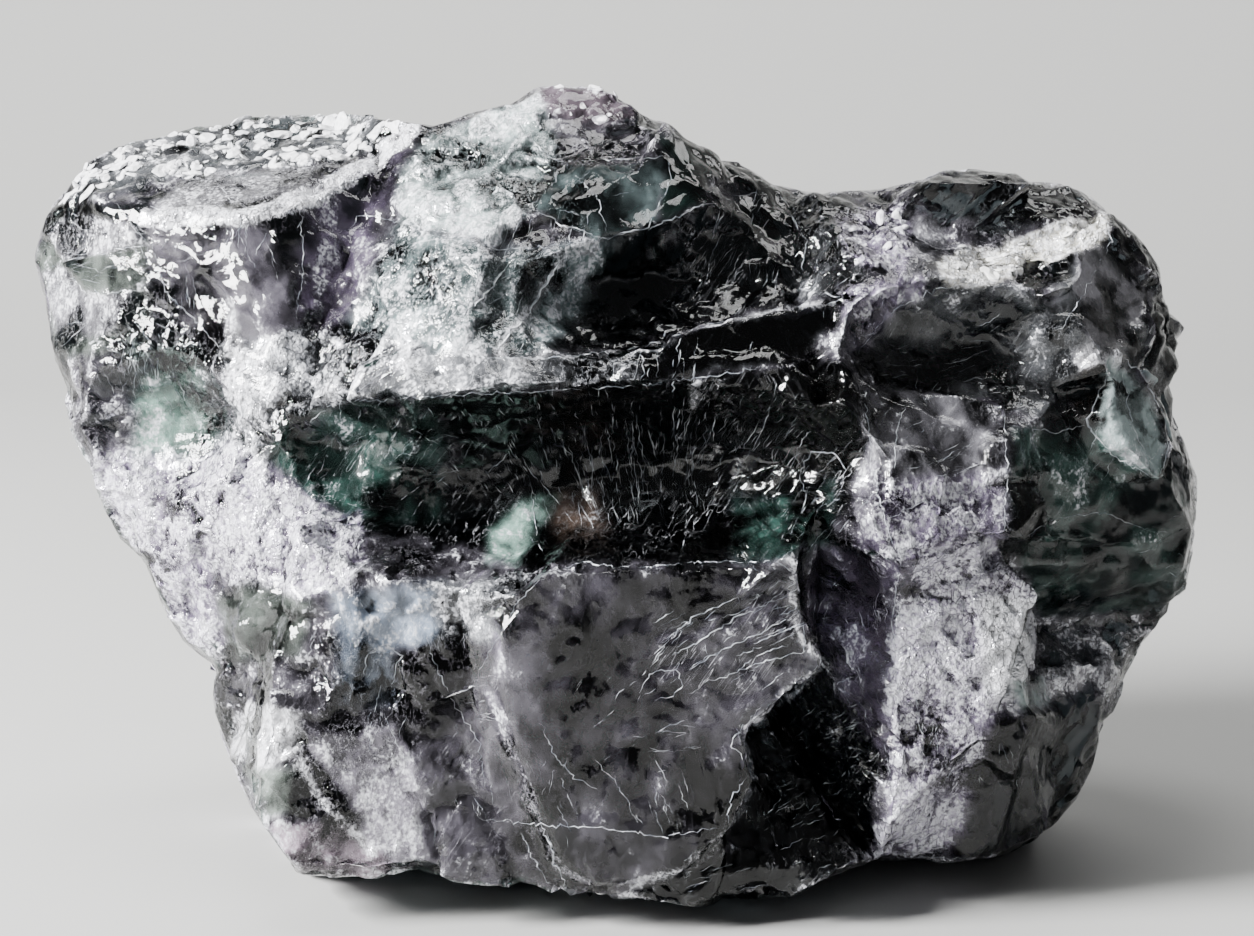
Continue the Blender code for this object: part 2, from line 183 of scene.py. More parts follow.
# A later zone is laid over the ones before it
ZONES = (
    Zone("left_edge", 0.40, 0.25, Tint.OLIVE, 0.8, 7,
         ((30, 262), (60, 205), (150, 235), (150, 345), (60, 360))),
    Zone("top_left_plate", 0.34, 0.12, Tint.GREY, 0.8, 4,
         ((46, 205), (85, 150), (205, 118), (345, 104), (412, 120), (372, 150), (300, 165), (230, 170),
         (150, 180), (60, 205))),
    Zone("lens_facet", 0.62, 0.32, Tint.SMOKE, 0.2, 3,
         ((150, 205), (190, 175), (250, 168), (330, 165), (300, 195), (240, 212), (185, 212))),
    Zone("dark_crevice", 0.12, 0.04, Tint.BLACK, 0.3, 4, ((60, 205), (150, 200), (150, 240), (70, 235))),
    Zone("tip_fan", 0.70, 0.35, Tint.SMOKE, 0.3, 2,
         ((44, 232), (70, 212), (132, 222), (146, 246), (96, 254), (60, 262))),
    Zone("wedge_facet", 0.12, 0.14, Tint.OLIVE, 0.1, 2,
         ((62, 262), (95, 254), (140, 275), (138, 290), (85, 292))),
    Zone("tip_low", 0.60, 0.30, Tint.SMOKE, 0.25, 3,
         ((40, 270), (62, 264), (86, 294), (140, 292), (128, 330), (58, 340))),
    Zone("dark_cheek", 0.16, 0.18, Tint.MAUVE, 0.3, 8,
         ((150, 225), (300, 205), (300, 330), (250, 350), (200, 335), (150, 290))),
    Zone("purple_stripe", 0.28, 0.24, Tint.PURPLE, 0.5, 5,
         ((420, 125), (395, 180), (345, 330), (300, 330), (300, 205), (372, 150))),
    Zone("peak_left", 0.76, 0.62, Tint.PALE_TEAL, 0.8, 6,
         ((430, 130), (512, 103), (536, 88), (560, 160), (530, 205), (505, 240), (400, 222),
         (395, 180))),
    Zone("peak_crust", 0.02, 0.08, Tint.PINK, 1.0, 4,
         ((530, 80), (575, 78), (620, 90), (650, 118), (600, 125), (550, 112))),
    Zone("trapezoid", 0.12, 0.14, Tint.TEAL, 0.35, 3,
         ((560, 165), (670, 158), (655, 225), (600, 240), (530, 205))),
    Zone("peak_right", -0.15, 0.08, Tint.GREEN, 0.10, 4,
         ((650, 130), (715, 150), (700, 205), (660, 225), (670, 158))),
    Zone("slope_edge", 0.05, 0.05, Tint.BLACK, 0.20, 3, ((668, 118), (785, 186), (772, 198), (700, 165))),
    Zone("bowl_left", 0.72, 0.52, Tint.TEAL, 0.45, 9,
         ((345, 330), (395, 222), (500, 250), (630, 238), (588, 300), (532, 352), (425, 352))),
    Zone("bowl_black", 0.00, 0.00, Tint.BLACK, 0.6, 9,
         ((610, 242), (700, 207), (790, 195), (800, 280), (790, 305), (700, 322), (640, 345),
         (540, 352), (575, 300))),
    Zone("bowl_mid", 0.62, 0.50, Tint.TEAL, 0.4, 14,
         ((500, 250), (615, 240), (600, 285), (552, 340), (515, 352))),
    Zone("ledge_band", 0.50, 0.22, Tint.GREY, 0.35, 3,
         ((350, 400), (425, 352), (560, 355), (640, 348), (700, 328), (790, 308), (850, 300),
         (810, 352), (760, 366), (640, 383), (530, 390))),
    Zone("ledge_band_right", -0.05, 0.00, Tint.BLACK, 0.6, 6,
         ((640, 348), (700, 328), (790, 308), (850, 300), (810, 352), (760, 366), (640, 383))),
    Zone("main_bowl", -0.12, 0.00, Tint.BLACK, 0.5, 6,
         ((280, 420), (350, 402), (530, 392), (640, 387), (760, 370), (850, 356), (866, 440),
         (850, 500), (820, 540), (780, 560), (540, 562), (430, 542), (300, 520), (265, 470))),
    Zone("bowl_green", 0.22, 0.30, Tint.GREEN, 0.5, 12,
         ((270, 410), (440, 400), (445, 520), (350, 520), (270, 470))),
    Zone("bowl_teal", -0.10, 0.40, Tint.GREEN, 0.9, 16,
         ((735, 500), (830, 480), (830, 545), (780, 560), (735, 560))),
    Zone("bowl_brown", 0.30, 0.20, Tint.BROWN, 0.5, 12, ((545, 480), (600, 478), (610, 540), (560, 545))),
    Zone("green_glow", 0.45, 0.60, Tint.LEAF, 0.4, 10,
         ((488, 530), (535, 488), (556, 498), (515, 556), (490, 560))),
    Zone("left_shoulder", 0.90, 0.35, Tint.GREY, 0.9, 8,
         ((215, 345), (300, 330), (425, 352), (350, 400), (280, 420), (260, 480), (225, 440))),
    # white_flank is partly real white crackle and partly a painted highlight where the flank glints in the
    # light
    Zone("white_flank", 1.10, 0.60, Tint.LAVENDER, 1.0, 8,
         ((92, 455), (130, 450), (230, 440), (280, 480), (350, 520), (340, 590), (260, 600), (180, 560),
         (120, 545), (92, 490))),
    Zone("purple_spot", 0.50, 0.40, Tint.PURPLE, 0.5, 8,
         ((150, 490), (185, 485), (190, 515), (160, 520))),
    Zone("teal_cheek", 0.46, 0.40, Tint.LEAF, 0.5, 12,
         ((130, 345), (200, 345), (215, 440), (180, 460), (140, 455))),
    Zone("white_lump", 1.05, 0.55, Tint.LAVENDER, 0.8, 3,
         ((338, 520), (360, 512), (368, 560), (350, 590), (336, 575))),
    Zone("grey_green_lump", 0.18, 0.14, Tint.OLIVE, 0.5, 7,
         ((210, 600), (250, 585), (310, 600), (305, 660), (230, 660))),
    Zone("left_crackle", 0.85, 0.40, Tint.LAVENDER, 1.0, 6,
         ((145, 560), (200, 560), (225, 640), (200, 665), (165, 610))),
    Zone("blue_grey", 0.36, 0.42, Tint.BLUE, 0.5, 10, ((330, 590), (440, 585), (450, 700), (340, 705))),
    Zone("blue_chip", 0.60, 0.60, Tint.BLUE, 0.3, 3,
         ((365, 655), (385, 643), (402, 655), (392, 683), (368, 686))),
    Zone("white_flecks", 0.56, 0.25, Tint.GREY, 0.7, 8, ((430, 585), (530, 570), (540, 640), (440, 645))),
    Zone("lower_face", 0.28, 0.14, Tint.MAUVE, 0.4, 8,
         ((395, 650), (500, 640), (560, 890), (470, 878), (400, 860))),
    Zone("lower_left_facet", 0.66, 0.75, Tint.MAUVE, 0.15, 5,
         ((300, 730), (400, 720), (430, 860), (380, 868))),
    Zone("patch_crackle", 0.82, 0.50, Tint.WHITE, 0.8, 4,
         ((225, 722), (250, 703), (300, 715), (302, 752), (262, 768), (232, 756))),
    Zone("green_facet", 0.28, 0.45, Tint.OLIVE, 0.15, 4,
         ((238, 765), (300, 762), (302, 812), (262, 820))),
    Zone("bottom_tip", 0.55, 0.50, Tint.PINK, 0.6, 5,
         ((268, 822), (345, 825), (390, 862), (380, 885), (295, 880))),
    Zone("slab", 0.16, 0.15, Tint.SLATE, 0.35, 4,
         ((540, 572), (780, 562), (795, 580), (822, 665), (740, 735), (755, 780), (730, 828),
         (690, 872), (640, 888), (560, 892), (500, 700), (490, 620))),
    Zone("slab_feathers", 0.18, 0.18, Tint.SLATE, 0.5, 12,
         ((655, 590), (790, 575), (812, 655), (740, 700), (650, 680))),
    Zone("recess", 0.16, 0.02, Tint.BLACK, 0.8, 3,
         ((745, 735), (822, 680), (880, 750), (865, 850), (740, 855), (735, 828), (757, 780))),
    Zone("dark_foot", 0.10, 0.04, Tint.BLACK, 0.7, 4,
         ((640, 892), (700, 868), (740, 850), (860, 850), (830, 910), (640, 910))),
    Zone("valley", 0.38, 0.38, Tint.PURPLE, 0.7, 8,
         ((815, 550), (868, 540), (895, 700), (880, 755), (825, 680), (800, 620))),
    Zone("column", 0.32, 0.32, Tint.SMOKE, 0.5, 6,
         ((862, 385), (1000, 398), (1006, 540), (960, 560), (900, 600), (870, 520))),
    Zone("column_middle", 0.84, 0.62, Tint.LAVENDER, 0.6, 9,
         ((895, 480), (1000, 470), (1006, 550), (900, 565))),
    # column_bright and column_core are partly real white crackle and partly a painted highlight, whitened
    # further where the key light reaches this face only weakly
    Zone("column_bright", 1.18, 0.60, Tint.LAVENDER, 1.0, 9,
         ((900, 560), (985, 540), (1030, 590), (1040, 660), (1025, 710), (960, 720), (890, 700),
         (885, 620))),
    Zone("column_purple", 0.55, 0.30, Tint.PURPLE, 0.5, 14,
         ((870, 470), (905, 480), (915, 600), (880, 640), (862, 560))),
    Zone("column_core", 1.35, 0.75, Tint.WHITE, 1.0, 7,
         ((985, 590), (1030, 600), (1035, 660), (1020, 700), (985, 690))),
    Zone("column_lower", 0.86, 0.42, Tint.LAVENDER, 0.8, 8,
         ((890, 700), (985, 700), (975, 790), (930, 850), (885, 850))),
    Zone("column_foot", 1.10, 0.55, Tint.LAVENDER, 0.9, 5,
         ((872, 825), (960, 795), (965, 835), (900, 858), (865, 856))),
    Zone("saddle", 0.14, 0.04, Tint.GREY, 1.0, 5,
         ((785, 190), (850, 195), (870, 260), (850, 300), (800, 300))),
    Zone("lobe_cap", 0.04, 0.00, Tint.GREY, 0.5, 4,
         ((905, 185), (960, 165), (1030, 165), (1100, 195), (1060, 215), (1000, 224), (940, 215))),
    Zone("lobe_crust", 0.68, 0.30, Tint.LAVENDER, 1.0, 4,
         ((833, 208), (900, 204), (918, 240), (905, 274), (850, 262))),
    Zone("lobe_clear", 0.45, 0.35, Tint.SMOKE, 0.5, 4, ((915, 215), (945, 212), (946, 285), (905, 282))),
    Zone("lobe_right", 0.16, 0.12, Tint.GREY, 0.15, 4,
         ((1048, 262), (1112, 240), (1160, 285), (1165, 340), (1140, 400), (1090, 370), (1060, 330))),
    Zone("grey_facet", 0.22, 0.60, Tint.SMOKE, 0.1, 4,
         ((1065, 255), (1130, 240), (1160, 290), (1140, 340), (1080, 350))),
    Zone("lobe_lumps", 0.62, 0.50, Tint.LAVENDER, 0.9, 5,
         ((838, 285), (920, 275), (930, 345), (850, 350))),
    Zone("dark_oval", 0.30, 0.12, Tint.GREY, 0.4, 7,
         ((870, 350), (900, 300), (960, 282), (1030, 290), (1070, 320), (1080, 380), (1060, 415),
         (960, 400), (890, 385))),
    Zone("cream_band", 1.20, 0.90, Tint.CREAM, 0.9, 3,
         ((938, 264), (962, 246), (1000, 246), (1060, 220), (1112, 210), (1106, 240), (1040, 264),
         (990, 287), (948, 289))),
    Zone("junction", 0.82, 0.50, Tint.WHITE, 0.9, 4,
         ((1075, 352), (1132, 345), (1138, 372), (1100, 380), (1078, 374))),
    Zone("crevice", 0.05, 0.10, Tint.BROWN, 0.5, 3,
         ((1078, 372), (1108, 365), (1100, 400), (1085, 425), (1074, 405))),
    Zone("right_bulge", 0.20, 0.14, Tint.GREY, 0.4, 6,
         ((1140, 320), (1165, 305), (1192, 350), (1180, 410), (1160, 400))),
    Zone("green_boss", 0.22, 0.30, Tint.GREEN, 0.2, 9,
         ((1010, 425), (1090, 420), (1180, 470), (1200, 520), (1190, 600), (1120, 620), (1045, 620),
         (1010, 540))),
    Zone("flake", 0.55, 1.00, Tint.PALE_TEAL, 0.2, 2,
         ((1118, 352), (1086, 422), (1110, 452), (1157, 482), (1169, 446), (1166, 418), (1140, 373))),
    Zone("lower_right", 0.68, 0.32, Tint.MAUVE, 0.9, 8,
         ((1040, 620), (1150, 612), (1120, 705), (1045, 705))),
    Zone("clear_lump", 0.50, 0.50, Tint.PALE_TEAL, 0.2, 2,
         ((1008, 680), (1048, 676), (1052, 712), (1015, 716))),
    Zone("foot_triangles", 0.00, 0.00, Tint.PURPLE, 0.2, 5,
         ((985, 720), (1100, 690), (1095, 780), (1040, 850), (950, 855))),
)

STROKES = (
    Stroke("plate_rim", 1.20, 18, ((150, 217), (240, 218), (300, 203), (370, 162), (412, 128))),
    Stroke("bowl_flake", 0.95, 6, ((560, 262), (530, 310), (495, 352))),
    Stroke("ledge_line", 0.70, 2.5,
           ((425, 352), (560, 357), (640, 348), (700, 326), (790, 308), (850, 300))),
    Stroke("cheek_stripe", 0.90, 12, ((228, 305), (235, 350), (232, 400))),
    Stroke("slab_break", 0.85, 5,
           ((790, 580), (800, 640), (825, 665), (740, 735), (755, 780), (730, 828), (690, 870),
           (640, 885))),
    Stroke("foot_vein", 0.95, 8, ((300, 760), (320, 800), (370, 850))),
    Stroke("bowl_chip", 0.90, 7, ((697, 385), (690, 412), (682, 436))),
)

CRACKS = (
    Crack("bowl_lip", 0.08,
          ((400, 222), (450, 235), (500, 250), (560, 245), (600, 240), (660, 225), (700, 205),
          (770, 190))),
    Crack("bowl_flake_edge", 0.22, ((562, 258), (532, 308), (493, 354))),
    Crack("bowl_flake_left", 0.18, ((512, 260), (481, 300), (455, 322))),
    Crack("bowl_flake_low", 0.08, ((480, 366), (466, 386), (450, 398))),
    Crack("trapezoid_left", 0.09, ((560, 160), (552, 185), (530, 206), (566, 226), (604, 238))),
    Crack("trapezoid_right", 0.08, ((606, 238), (648, 226), (668, 190), (672, 158))),
    Crack("trapezoid_crease", 0.06, ((575, 175), (600, 200), (606, 236))),
    Crack("peak_crease", 0.07, ((512, 110), (530, 140), (556, 160), (610, 160), (668, 156))),
    Crack("peak_fold", 0.07, ((345, 232), (362, 214), (400, 222), (440, 216), (505, 240))),
    Crack("ledge_top", 0.09,
          ((430, 352), (500, 358), (560, 357), (640, 348), (700, 326), (790, 308), (848, 300))),
    Crack("ledge_step", 0.07, ((640, 350), (644, 366), (640, 382))),
    Crack("ledge_floor", 0.07, ((352, 402), (440, 396), (530, 392), (640, 386), (700, 378), (760, 368))),
    Crack("slab_top", 0.09, ((556, 570), (585, 562), (620, 568), (700, 562), (780, 562), (794, 574))),
    Crack("slab_base", 0.07, ((478, 818), (540, 825), (600, 828), (660, 836), (728, 827))),
    Crack("slab_streak", 0.13, ((541, 822), (553, 855), (566, 889))),
    Crack("slab_streak_left", 0.10, ((520, 832), (534, 860), (550, 886))),
    Crack("slab_left", 0.06, ((545, 575), (520, 600), (500, 632), (486, 660), (470, 690))),
    Crack("slab_fracture", 0.08,
          ((822, 664), (790, 690), (752, 716), (730, 744), (752, 772), (730, 800), (728, 828))),
    Crack("slab_crack", 0.06, ((540, 722), (552, 752), (574, 778), (600, 790))),
    Crack("slab_curl", 0.06, ((640, 692), (652, 672), (676, 670), (684, 684), (670, 698), (652, 700))),
    Crack("slab_nick", 0.05, ((596, 760), (620, 788), (640, 826))),
    Crack("feather_one", 0.08, ((662, 642), (690, 620), (715, 606), (740, 598))),
    Crack("feather_two", 0.09, ((672, 656), (700, 640), (735, 618), (778, 600))),
    Crack("feather_three", 0.08, ((688, 668), (720, 652), (756, 634), (796, 616))),
    Crack("feather_four", 0.08, ((706, 682), (745, 668), (786, 656), (812, 650))),
    Crack("lower_crack", 0.06, ((384, 714), (396, 742), (414, 776))),
    Crack("lower_crack_two", 0.05, ((430, 652), (452, 700), (478, 742), (486, 790))),
    Crack("column_left", 0.10,
          ((864, 390), (870, 440), (874, 480), (885, 520), (900, 560), (892, 620), (900, 700))),
    Crack("column_right", 0.09, ((1002, 400), (1007, 470), (1004, 545))),
    Crack("column_post", 0.10, ((905, 405), (897, 430), (895, 468))),
    Crack("column_cross", 0.07, ((885, 520), (925, 500), (960, 520), (985, 545))),
    Crack("column_low", 0.07, ((905, 640), (916, 700), (925, 760), (915, 815))),
    Crack("bubble", 0.08,
          ((806, 500), (801, 470), (810, 453), (832, 451), (846, 470), (838, 498), (818, 510))),
    Crack("oval_top", 0.07, ((858, 352), (890, 312), (940, 288), (1000, 280), (1046, 262))),
    Crack("lobe_fold", 0.07, ((1060, 330), (1080, 300), (1112, 240), (1104, 214))),
    Crack("saddle_edge", 0.09, ((780, 195), (806, 240), (800, 290), (850, 300), (840, 340))),
    Crack("flake_left", 0.10, ((1118, 352), (1100, 392), (1086, 424), (1112, 454), (1158, 481))),
    Crack("flake_right", 0.09, ((1118, 352), (1142, 374), (1166, 418), (1169, 446), (1158, 481))),
    Crack("flake_mid", 0.07, ((1120, 356), (1130, 420), (1158, 478))),
    Crack("boss_top", 0.06, ((1010, 425), (1060, 432), (1088, 424))),
    Crack("boss_crack", 0.06, ((1016, 545), (1050, 520), (1100, 512), (1150, 530))),
    Crack("lens_low", 0.09, ((150, 207), (185, 214), (240, 213), (298, 197), (345, 166))),
    Crack("tip_edge", 0.09, ((60, 262), (96, 252), (145, 246))),
    Crack("wedge_low", 0.08, ((64, 266), (86, 293), (140, 291))),
    Crack("tip_ray", 0.07, ((72, 214), (110, 224), (148, 236))),
    Crack("cheek_edge", 0.07, ((150, 240), (165, 290), (205, 330), (228, 360))),
    Crack("stripe_edge", 0.07, ((300, 206), (304, 262), (296, 322))),
    Crack("shoulder_edge", 0.08, ((418, 354), (380, 372), (346, 402))),
    Crack("flank_crystal", 0.12, ((342, 588), (338, 550), (350, 516), (362, 520), (360, 556))),
    Crack("blue_crystal", 0.09, ((364, 682), (366, 656), (386, 643), (402, 656), (392, 684))),
    Crack("foot_line", 0.08, ((886, 852), (930, 858), (985, 858), (1030, 850))),
)

FANS = (
    Fan("bowl_rays", 110, 90, 8, (18, 80), 0.034,
        ((560, 470), (700, 452), (800, 440), (806, 545), (560, 552)), (660, 700), bundle=3),
    Fan("bowl_high", 40, 90, 14, (8, 34), 0.022,
        ((450, 402), (780, 396), (790, 460), (450, 470)), (650, 640), bundle=3),
    Fan("bowl_left", 60, 52, 24, (10, 50), 0.028,
        ((296, 424), (450, 408), (470, 520), (360, 522), (290, 480)), bundle=5),
    Fan("bowl_ticks", 420, 90, 7, (8, 20), 0.026,
        ((440, 402), (800, 392), (800, 468), (560, 505), (450, 490)), (600, 620), bundle=1),
    Fan("bowl_drop", 22, 78, 8, (14, 46), 0.057, ((672, 384), (722, 384), (712, 452), (676, 452))),
    Fan("upper_black", 36, 62, 26, (10, 44), 0.023,
        ((560, 262), (700, 215), (790, 202), (785, 300), (570, 345))),
    Fan("upper_left", 80, 58, 14, (10, 60), 0.036, ((400, 240), (600, 246), (520, 348), (390, 336))),
    Fan("peak", 50, 55, 40, (8, 38), 0.031, ((420, 135), (512, 108), (560, 160), (500, 235), (402, 218))),
    Fan("trapezoid", 14, 60, 30, (10, 36), 0.026,
        ((560, 168), (668, 162), (652, 222), (602, 236), (540, 206))),
    Fan("feathers", 40, 34, 10, (20, 74), 0.040,
        ((655, 600), (740, 585), (790, 580), (812, 655), (740, 700), (655, 690)), bundle=4),
    Fan("feather_cross", 16, 112, 14, (6, 20), 0.029,
        ((655, 600), (790, 580), (812, 655), (740, 700), (655, 690))),
    Fan("slab", 34, 50, 34, (8, 34), 0.023,
        ((545, 580), (660, 575), (740, 735), (750, 780), (690, 868), (570, 885), (505, 700))),
    Fan("slab_low", 26, 118, 22, (10, 46), 0.029, ((510, 800), (722, 810), (690, 868), (560, 888))),
    Fan("recess", 90, 26, 14, (8, 30), 0.046,
        ((765, 735), (820, 695), (872, 750), (858, 840), (750, 845), (765, 790)), bundle=4),
    Fan("dark_foot", 30, 20, 20, (8, 36), 0.029, ((650, 895), (700, 872), (860, 860), (820, 900))),
    Fan("valley", 50, 96, 22, (8, 40), 0.031,
        ((818, 555), (866, 540), (892, 700), (878, 750), (830, 680))),
    Fan("column", 44, 84, 34, (8, 40), 0.029, ((868, 392), (1000, 402), (1004, 560), (905, 560))),
    Fan("column_low", 50, 84, 20, (10, 50), 0.034,
        ((890, 690), (985, 700), (975, 790), (905, 840), (885, 800))),
    Fan("boss", 34, 34, 44, (8, 36), 0.026,
        ((1012, 430), (1090, 425), (1178, 476), (1185, 600), (1050, 615), (1014, 540))),
    Fan("oval", 30, 28, 16, (10, 44), 0.026,
        ((850, 345), (905, 300), (1040, 290), (1074, 330), (1056, 410), (900, 390))),
    Fan("lobe", 28, 50, 50, (6, 26), 0.029, ((800, 210), (930, 215), (935, 340), (850, 340), (800, 290))),
    Fan("cheek", 50, 92, 26, (8, 44), 0.031,
        ((152, 232), (300, 212), (300, 330), (240, 350), (160, 300))),
    Fan("tip", 110, 172, 16, (10, 50), 0.031,
        ((44, 232), (72, 212), (148, 226), (150, 340), (60, 340)), (170, 262)),
    Fan("left_face", 70, 112, 24, (8, 40), 0.031, ((66, 350), (200, 345), (214, 440), (100, 452))),
    Fan("flank", 60, 60, 40, (6, 30), 0.036,
        ((100, 460), (230, 442), (336, 520), (330, 592), (180, 562))),
    Fan("left_foot", 40, 66, 40, (8, 36), 0.025, ((170, 575), (440, 590), (450, 700), (232, 712))),
    Fan("lower_face", 44, 64, 26, (8, 46), 0.029, ((300, 720), (500, 645), (560, 885), (400, 862))),
    Fan("right_foot", 44, 60, 34, (8, 34), 0.026,
        ((990, 640), (1140, 622), (1095, 770), (1030, 845), (960, 850))),
)

# Where the slab's left edge melts into the face beside it
SLAB_LEFT = ((455, 600), (545, 590), (560, 700), (600, 900), (510, 900), (480, 760))

# How far the flat facets are pressed to their planes, in millimetres
FLATS = {
    "wedge_facet": 1.2, "tip_fan": 0.8, "tip_low": 0.8, "lens_facet": 0.9, "lobe_right": 0.9,
    "grey_facet": 0.9, "flake": 0.9, "green_facet": 0.8, "lower_left_facet": 0.8, "column": 0.8,
    "clear_lump": 0.5, "foot_triangles": 0.8, "blue_chip": 0.6,
}

# How thickly white grains cover the zones that have a crust
CRUSTS = {
    "top_left_plate": 1.0, "peak_crust": 0.15, "lobe_crust": 0.25, "cream_band": 0.35, "junction": 0.2,
}

# How fibrous the zones with hairlines are
FIBRES = {
    "main_bowl": 1.0, "bowl_green": 0.7, "bowl_teal": 0.8, "bowl_brown": 0.8, "bowl_black": 0.7,
    "recess": 0.9, "dark_oval": 0.5, "slab": 0.1, "slab_feathers": 1.0, "green_boss": 0.3, "valley": 0.6,
    "dark_foot": 0.6, "lower_face": 0.6, "foot_triangles": 0.5, "column": 0.5, "bowl_left": 0.4,
    "lobe_cap": 0.4,
}


def smooth_step(low: float, high: float, value: Array) -> Array:
    """Eases value from 0 at low to 1 at high."""
    t = np.clip((value - low) / (high - low), 0.0, 1.0)
    return t * t * (3.0 - 2.0 * t)


def fractal(points: Array, size: float, seed: float, octaves: int = 3) -> Array:
    """Smooth noise from about -1 to 1.

    Args:
        points: Places in millimetres, one row each.
        size: Size of the largest features in millimetres.
        seed: Moves the noise elsewhere.
        octaves: How many sizes of features.

    Returns:
        One value a row.
    """
    shifted = points / size + seed
    return np.array([noise.fractal(Vector(p), 1.0, 2.0, octaves) for p in shifted])


def fractals(points: Array, size: float, seeds: tuple[float, ...], octaves: int = 3) -> Array:
    """Several fields of smooth noise, one a column."""
    return np.stack([fractal(points, size, seed, octaves) for seed in seeds], axis=1)


def segment_distance(places: Array, first: Point, second: Point) -> Array:
    """Distance from places to a segment.

    Args:
        places: Pixel places, one row each.
        first: One end of the segment.
        second: Its other end.

    Returns:
        One distance a row.
    """
    start, along = np.array(first), np.subtract(second, first)
    away = places - start
    share = np.clip(away @ along / (along @ along), 0.0, 1.0)
    return np.hypot(*(away - share[:, None] * along).T)


def outline_depth(places: Array, outline: tuple[Point, ...]) -> Array:
    """How far places lie inside a closed outline, negative outside.

    Args:
        places: Pixel places, one row each.
        outline: Its corners in order.

    Returns:
        One signed distance a row.
    """
    nearest = np.full(len(places), np.inf)
    inside = np.zeros(len(places), dtype=bool)
    for first, second in zip(outline, outline[1:] + outline[:1]):
        nearest = np.minimum(nearest, segment_distance(places, first, second))
        (x1, y1), (x2, y2) = first, second
        crosses = (y1 > places[:, 1]) != (y2 > places[:, 1])
        if y1 != y2:
            meets = x1 + (places[:, 1] - y1) * (x2 - x1) / (y2 - y1)
            inside ^= crosses & (places[:, 0] < meets)
    return np.where(inside, nearest, -nearest)


def tipped(back: Array, height: Array) -> tuple[Array, Array]:
    """Turns lengths back and up in the room into lengths up and out in the front frame."""
    sine, cosine = math.sin(VIEW_DIP), math.cos(VIEW_DIP)
    return back * sine + height * cosine, height * sine - back * cosine


def upright(points: Array) -> Array:
    """Turns places of the front frame into places of the room.

    Args:
        points: Across, up and out in millimetres, one row each.

    Returns:
        Places in metres.
    """
    across, up, out = points.T
    back = up * math.sin(VIEW_DIP) - out * math.cos(VIEW_DIP)
    height = HEART_HEIGHT + up * math.cos(VIEW_DIP) + (out - HEART[2]) * math.sin(VIEW_DIP)
    return np.stack([across + CENTRING[0], back + CENTRING[1], height], axis=1) * MM


def front_frame(places: Array) -> Array:
    """Turns places of the room into places of the front frame.

    Args:
        places: Places in metres, one row each.

    Returns:
        Across, up and out in millimetres.
    """
    x, y, z = (places / MM).T
    up, out = tipped(y - CENTRING[1] + HEART[2] * math.cos(VIEW_DIP), z - HEART_HEIGHT)
    return np.stack([x - CENTRING[0], up, out + HEART[2]], axis=1)


def facing_eye(points: Array, normals: Array) -> Array:
    """How squarely the surface faces the eye, from -1 to 1."""
    sight = np.array([HEART[0], 0.0, EYE_DISTANCE]) - points
    return np.sum(sight * normals, axis=1) / np.linalg.norm(sight, axis=1)


def photo_places(points: Array) -> Array:
    """Finds where the eye sees points.

    Args:
        points: Places of the front frame, one row each.

    Returns:
        Photograph pixels.
    """
    slope = PIXELS_PER_SLOPE / (EYE_DISTANCE - points[:, 2])
    across = PHOTO_SIZE[0] / 2 + (points[:, 0] - HEART[0]) * slope
    return np.stack([across, PHOTO_SIZE[1] / 2 - points[:, 1] * slope], axis=1)


def vectors_of(items: Any, name: str) -> Array:
    """Reads a vector of each item of a mesh.

    Args:
        items: The mesh's vertices, or other such items.
        name: The vector's name.

    Returns:
        One vector a row.
    """
    values = np.empty(len(items) * 3, dtype=np.float32)
    items.foreach_get(name, values)
    return values.reshape(-1, 3).astype(float)


def edge_ends(mesh: bpy.types.Mesh) -> Array:
    """Reads a mesh's edges.

    Args:
        mesh: The mesh.

    Returns:
        The numbers of both vertices of each edge, one row an edge.
    """
    ends = np.empty(len(mesh.edges) * 2, dtype=np.int32)
    mesh.edges.foreach_get("vertices", ends)
    return ends.reshape(-1, 2)


def inside_box(points: Array) -> Array:
    """Turns front-frame places into places of the room, held within the solid's box."""
    low, high = (np.array(corner) for corner in CAD_BOX)
    return np.clip(upright(points), low, high)


def set_up(name: str, data: Any) -> bpy.types.Object:
    """Puts a mesh, a light or a camera into the scene.

    Args:
        name: The new object's name.
        data: What it holds.

    Returns:
        The object, at the origin.
    """
    thing = bpy.data.objects.new(name, data)
    bpy.context.scene.collection.objects.link(thing)
    return thing


@dataclass
class Paint:
    """What the finish varies by, one value a vertex."""

    frost: Array
    haze: Array
    relief: Array
    fibre: Array
    crust: Array
    tint: Array

    @classmethod
    def even(cls, zone: Zone, count: int) -> "Paint":
        """Gives every vertex one zone's finish.

        Args:
            zone: The zone.
            count: How many vertices there are.

        Returns:
            Their finish.
        """
        frost, haze, relief = (np.full(count, value) for value in (zone.frost, zone.haze, zone.relief))
        tint = np.tile(np.array(zone.tint.value), (count, 1))
        return cls(frost, haze, relief, np.zeros(count), np.zeros(count), tint)

    def lay(self, weight: Array, zone: Zone) -> None:
        """Lays a zone's finish over what is there.

        Args:
            weight: Cover of each vertex, from 0 to 1.
            zone: The zone.
        """
        self.frost += weight * (zone.frost - self.frost)
        self.haze += weight * (zone.haze - self.haze)
        self.relief += weight * (zone.relief - self.relief)
        self.fibre += weight * (FIBRES.get(zone.name, 0.0) - self.fibre)
        self.crust += weight * (CRUSTS.get(zone.name, 0.0) - self.crust)
        self.colour(weight, zone.tint)

    def colour(self, weight: Array, tint: Tint, strength: float = 1.0) -> None:
        """Lays a tint over what is there.

        Args:
            weight: Cover of each vertex, from 0 to 1.
            tint: The tint.
            strength: What its colour is multiplied by.
        """
        self.tint += weight[:, None] * (np.array(tint.value) * strength - self.tint)


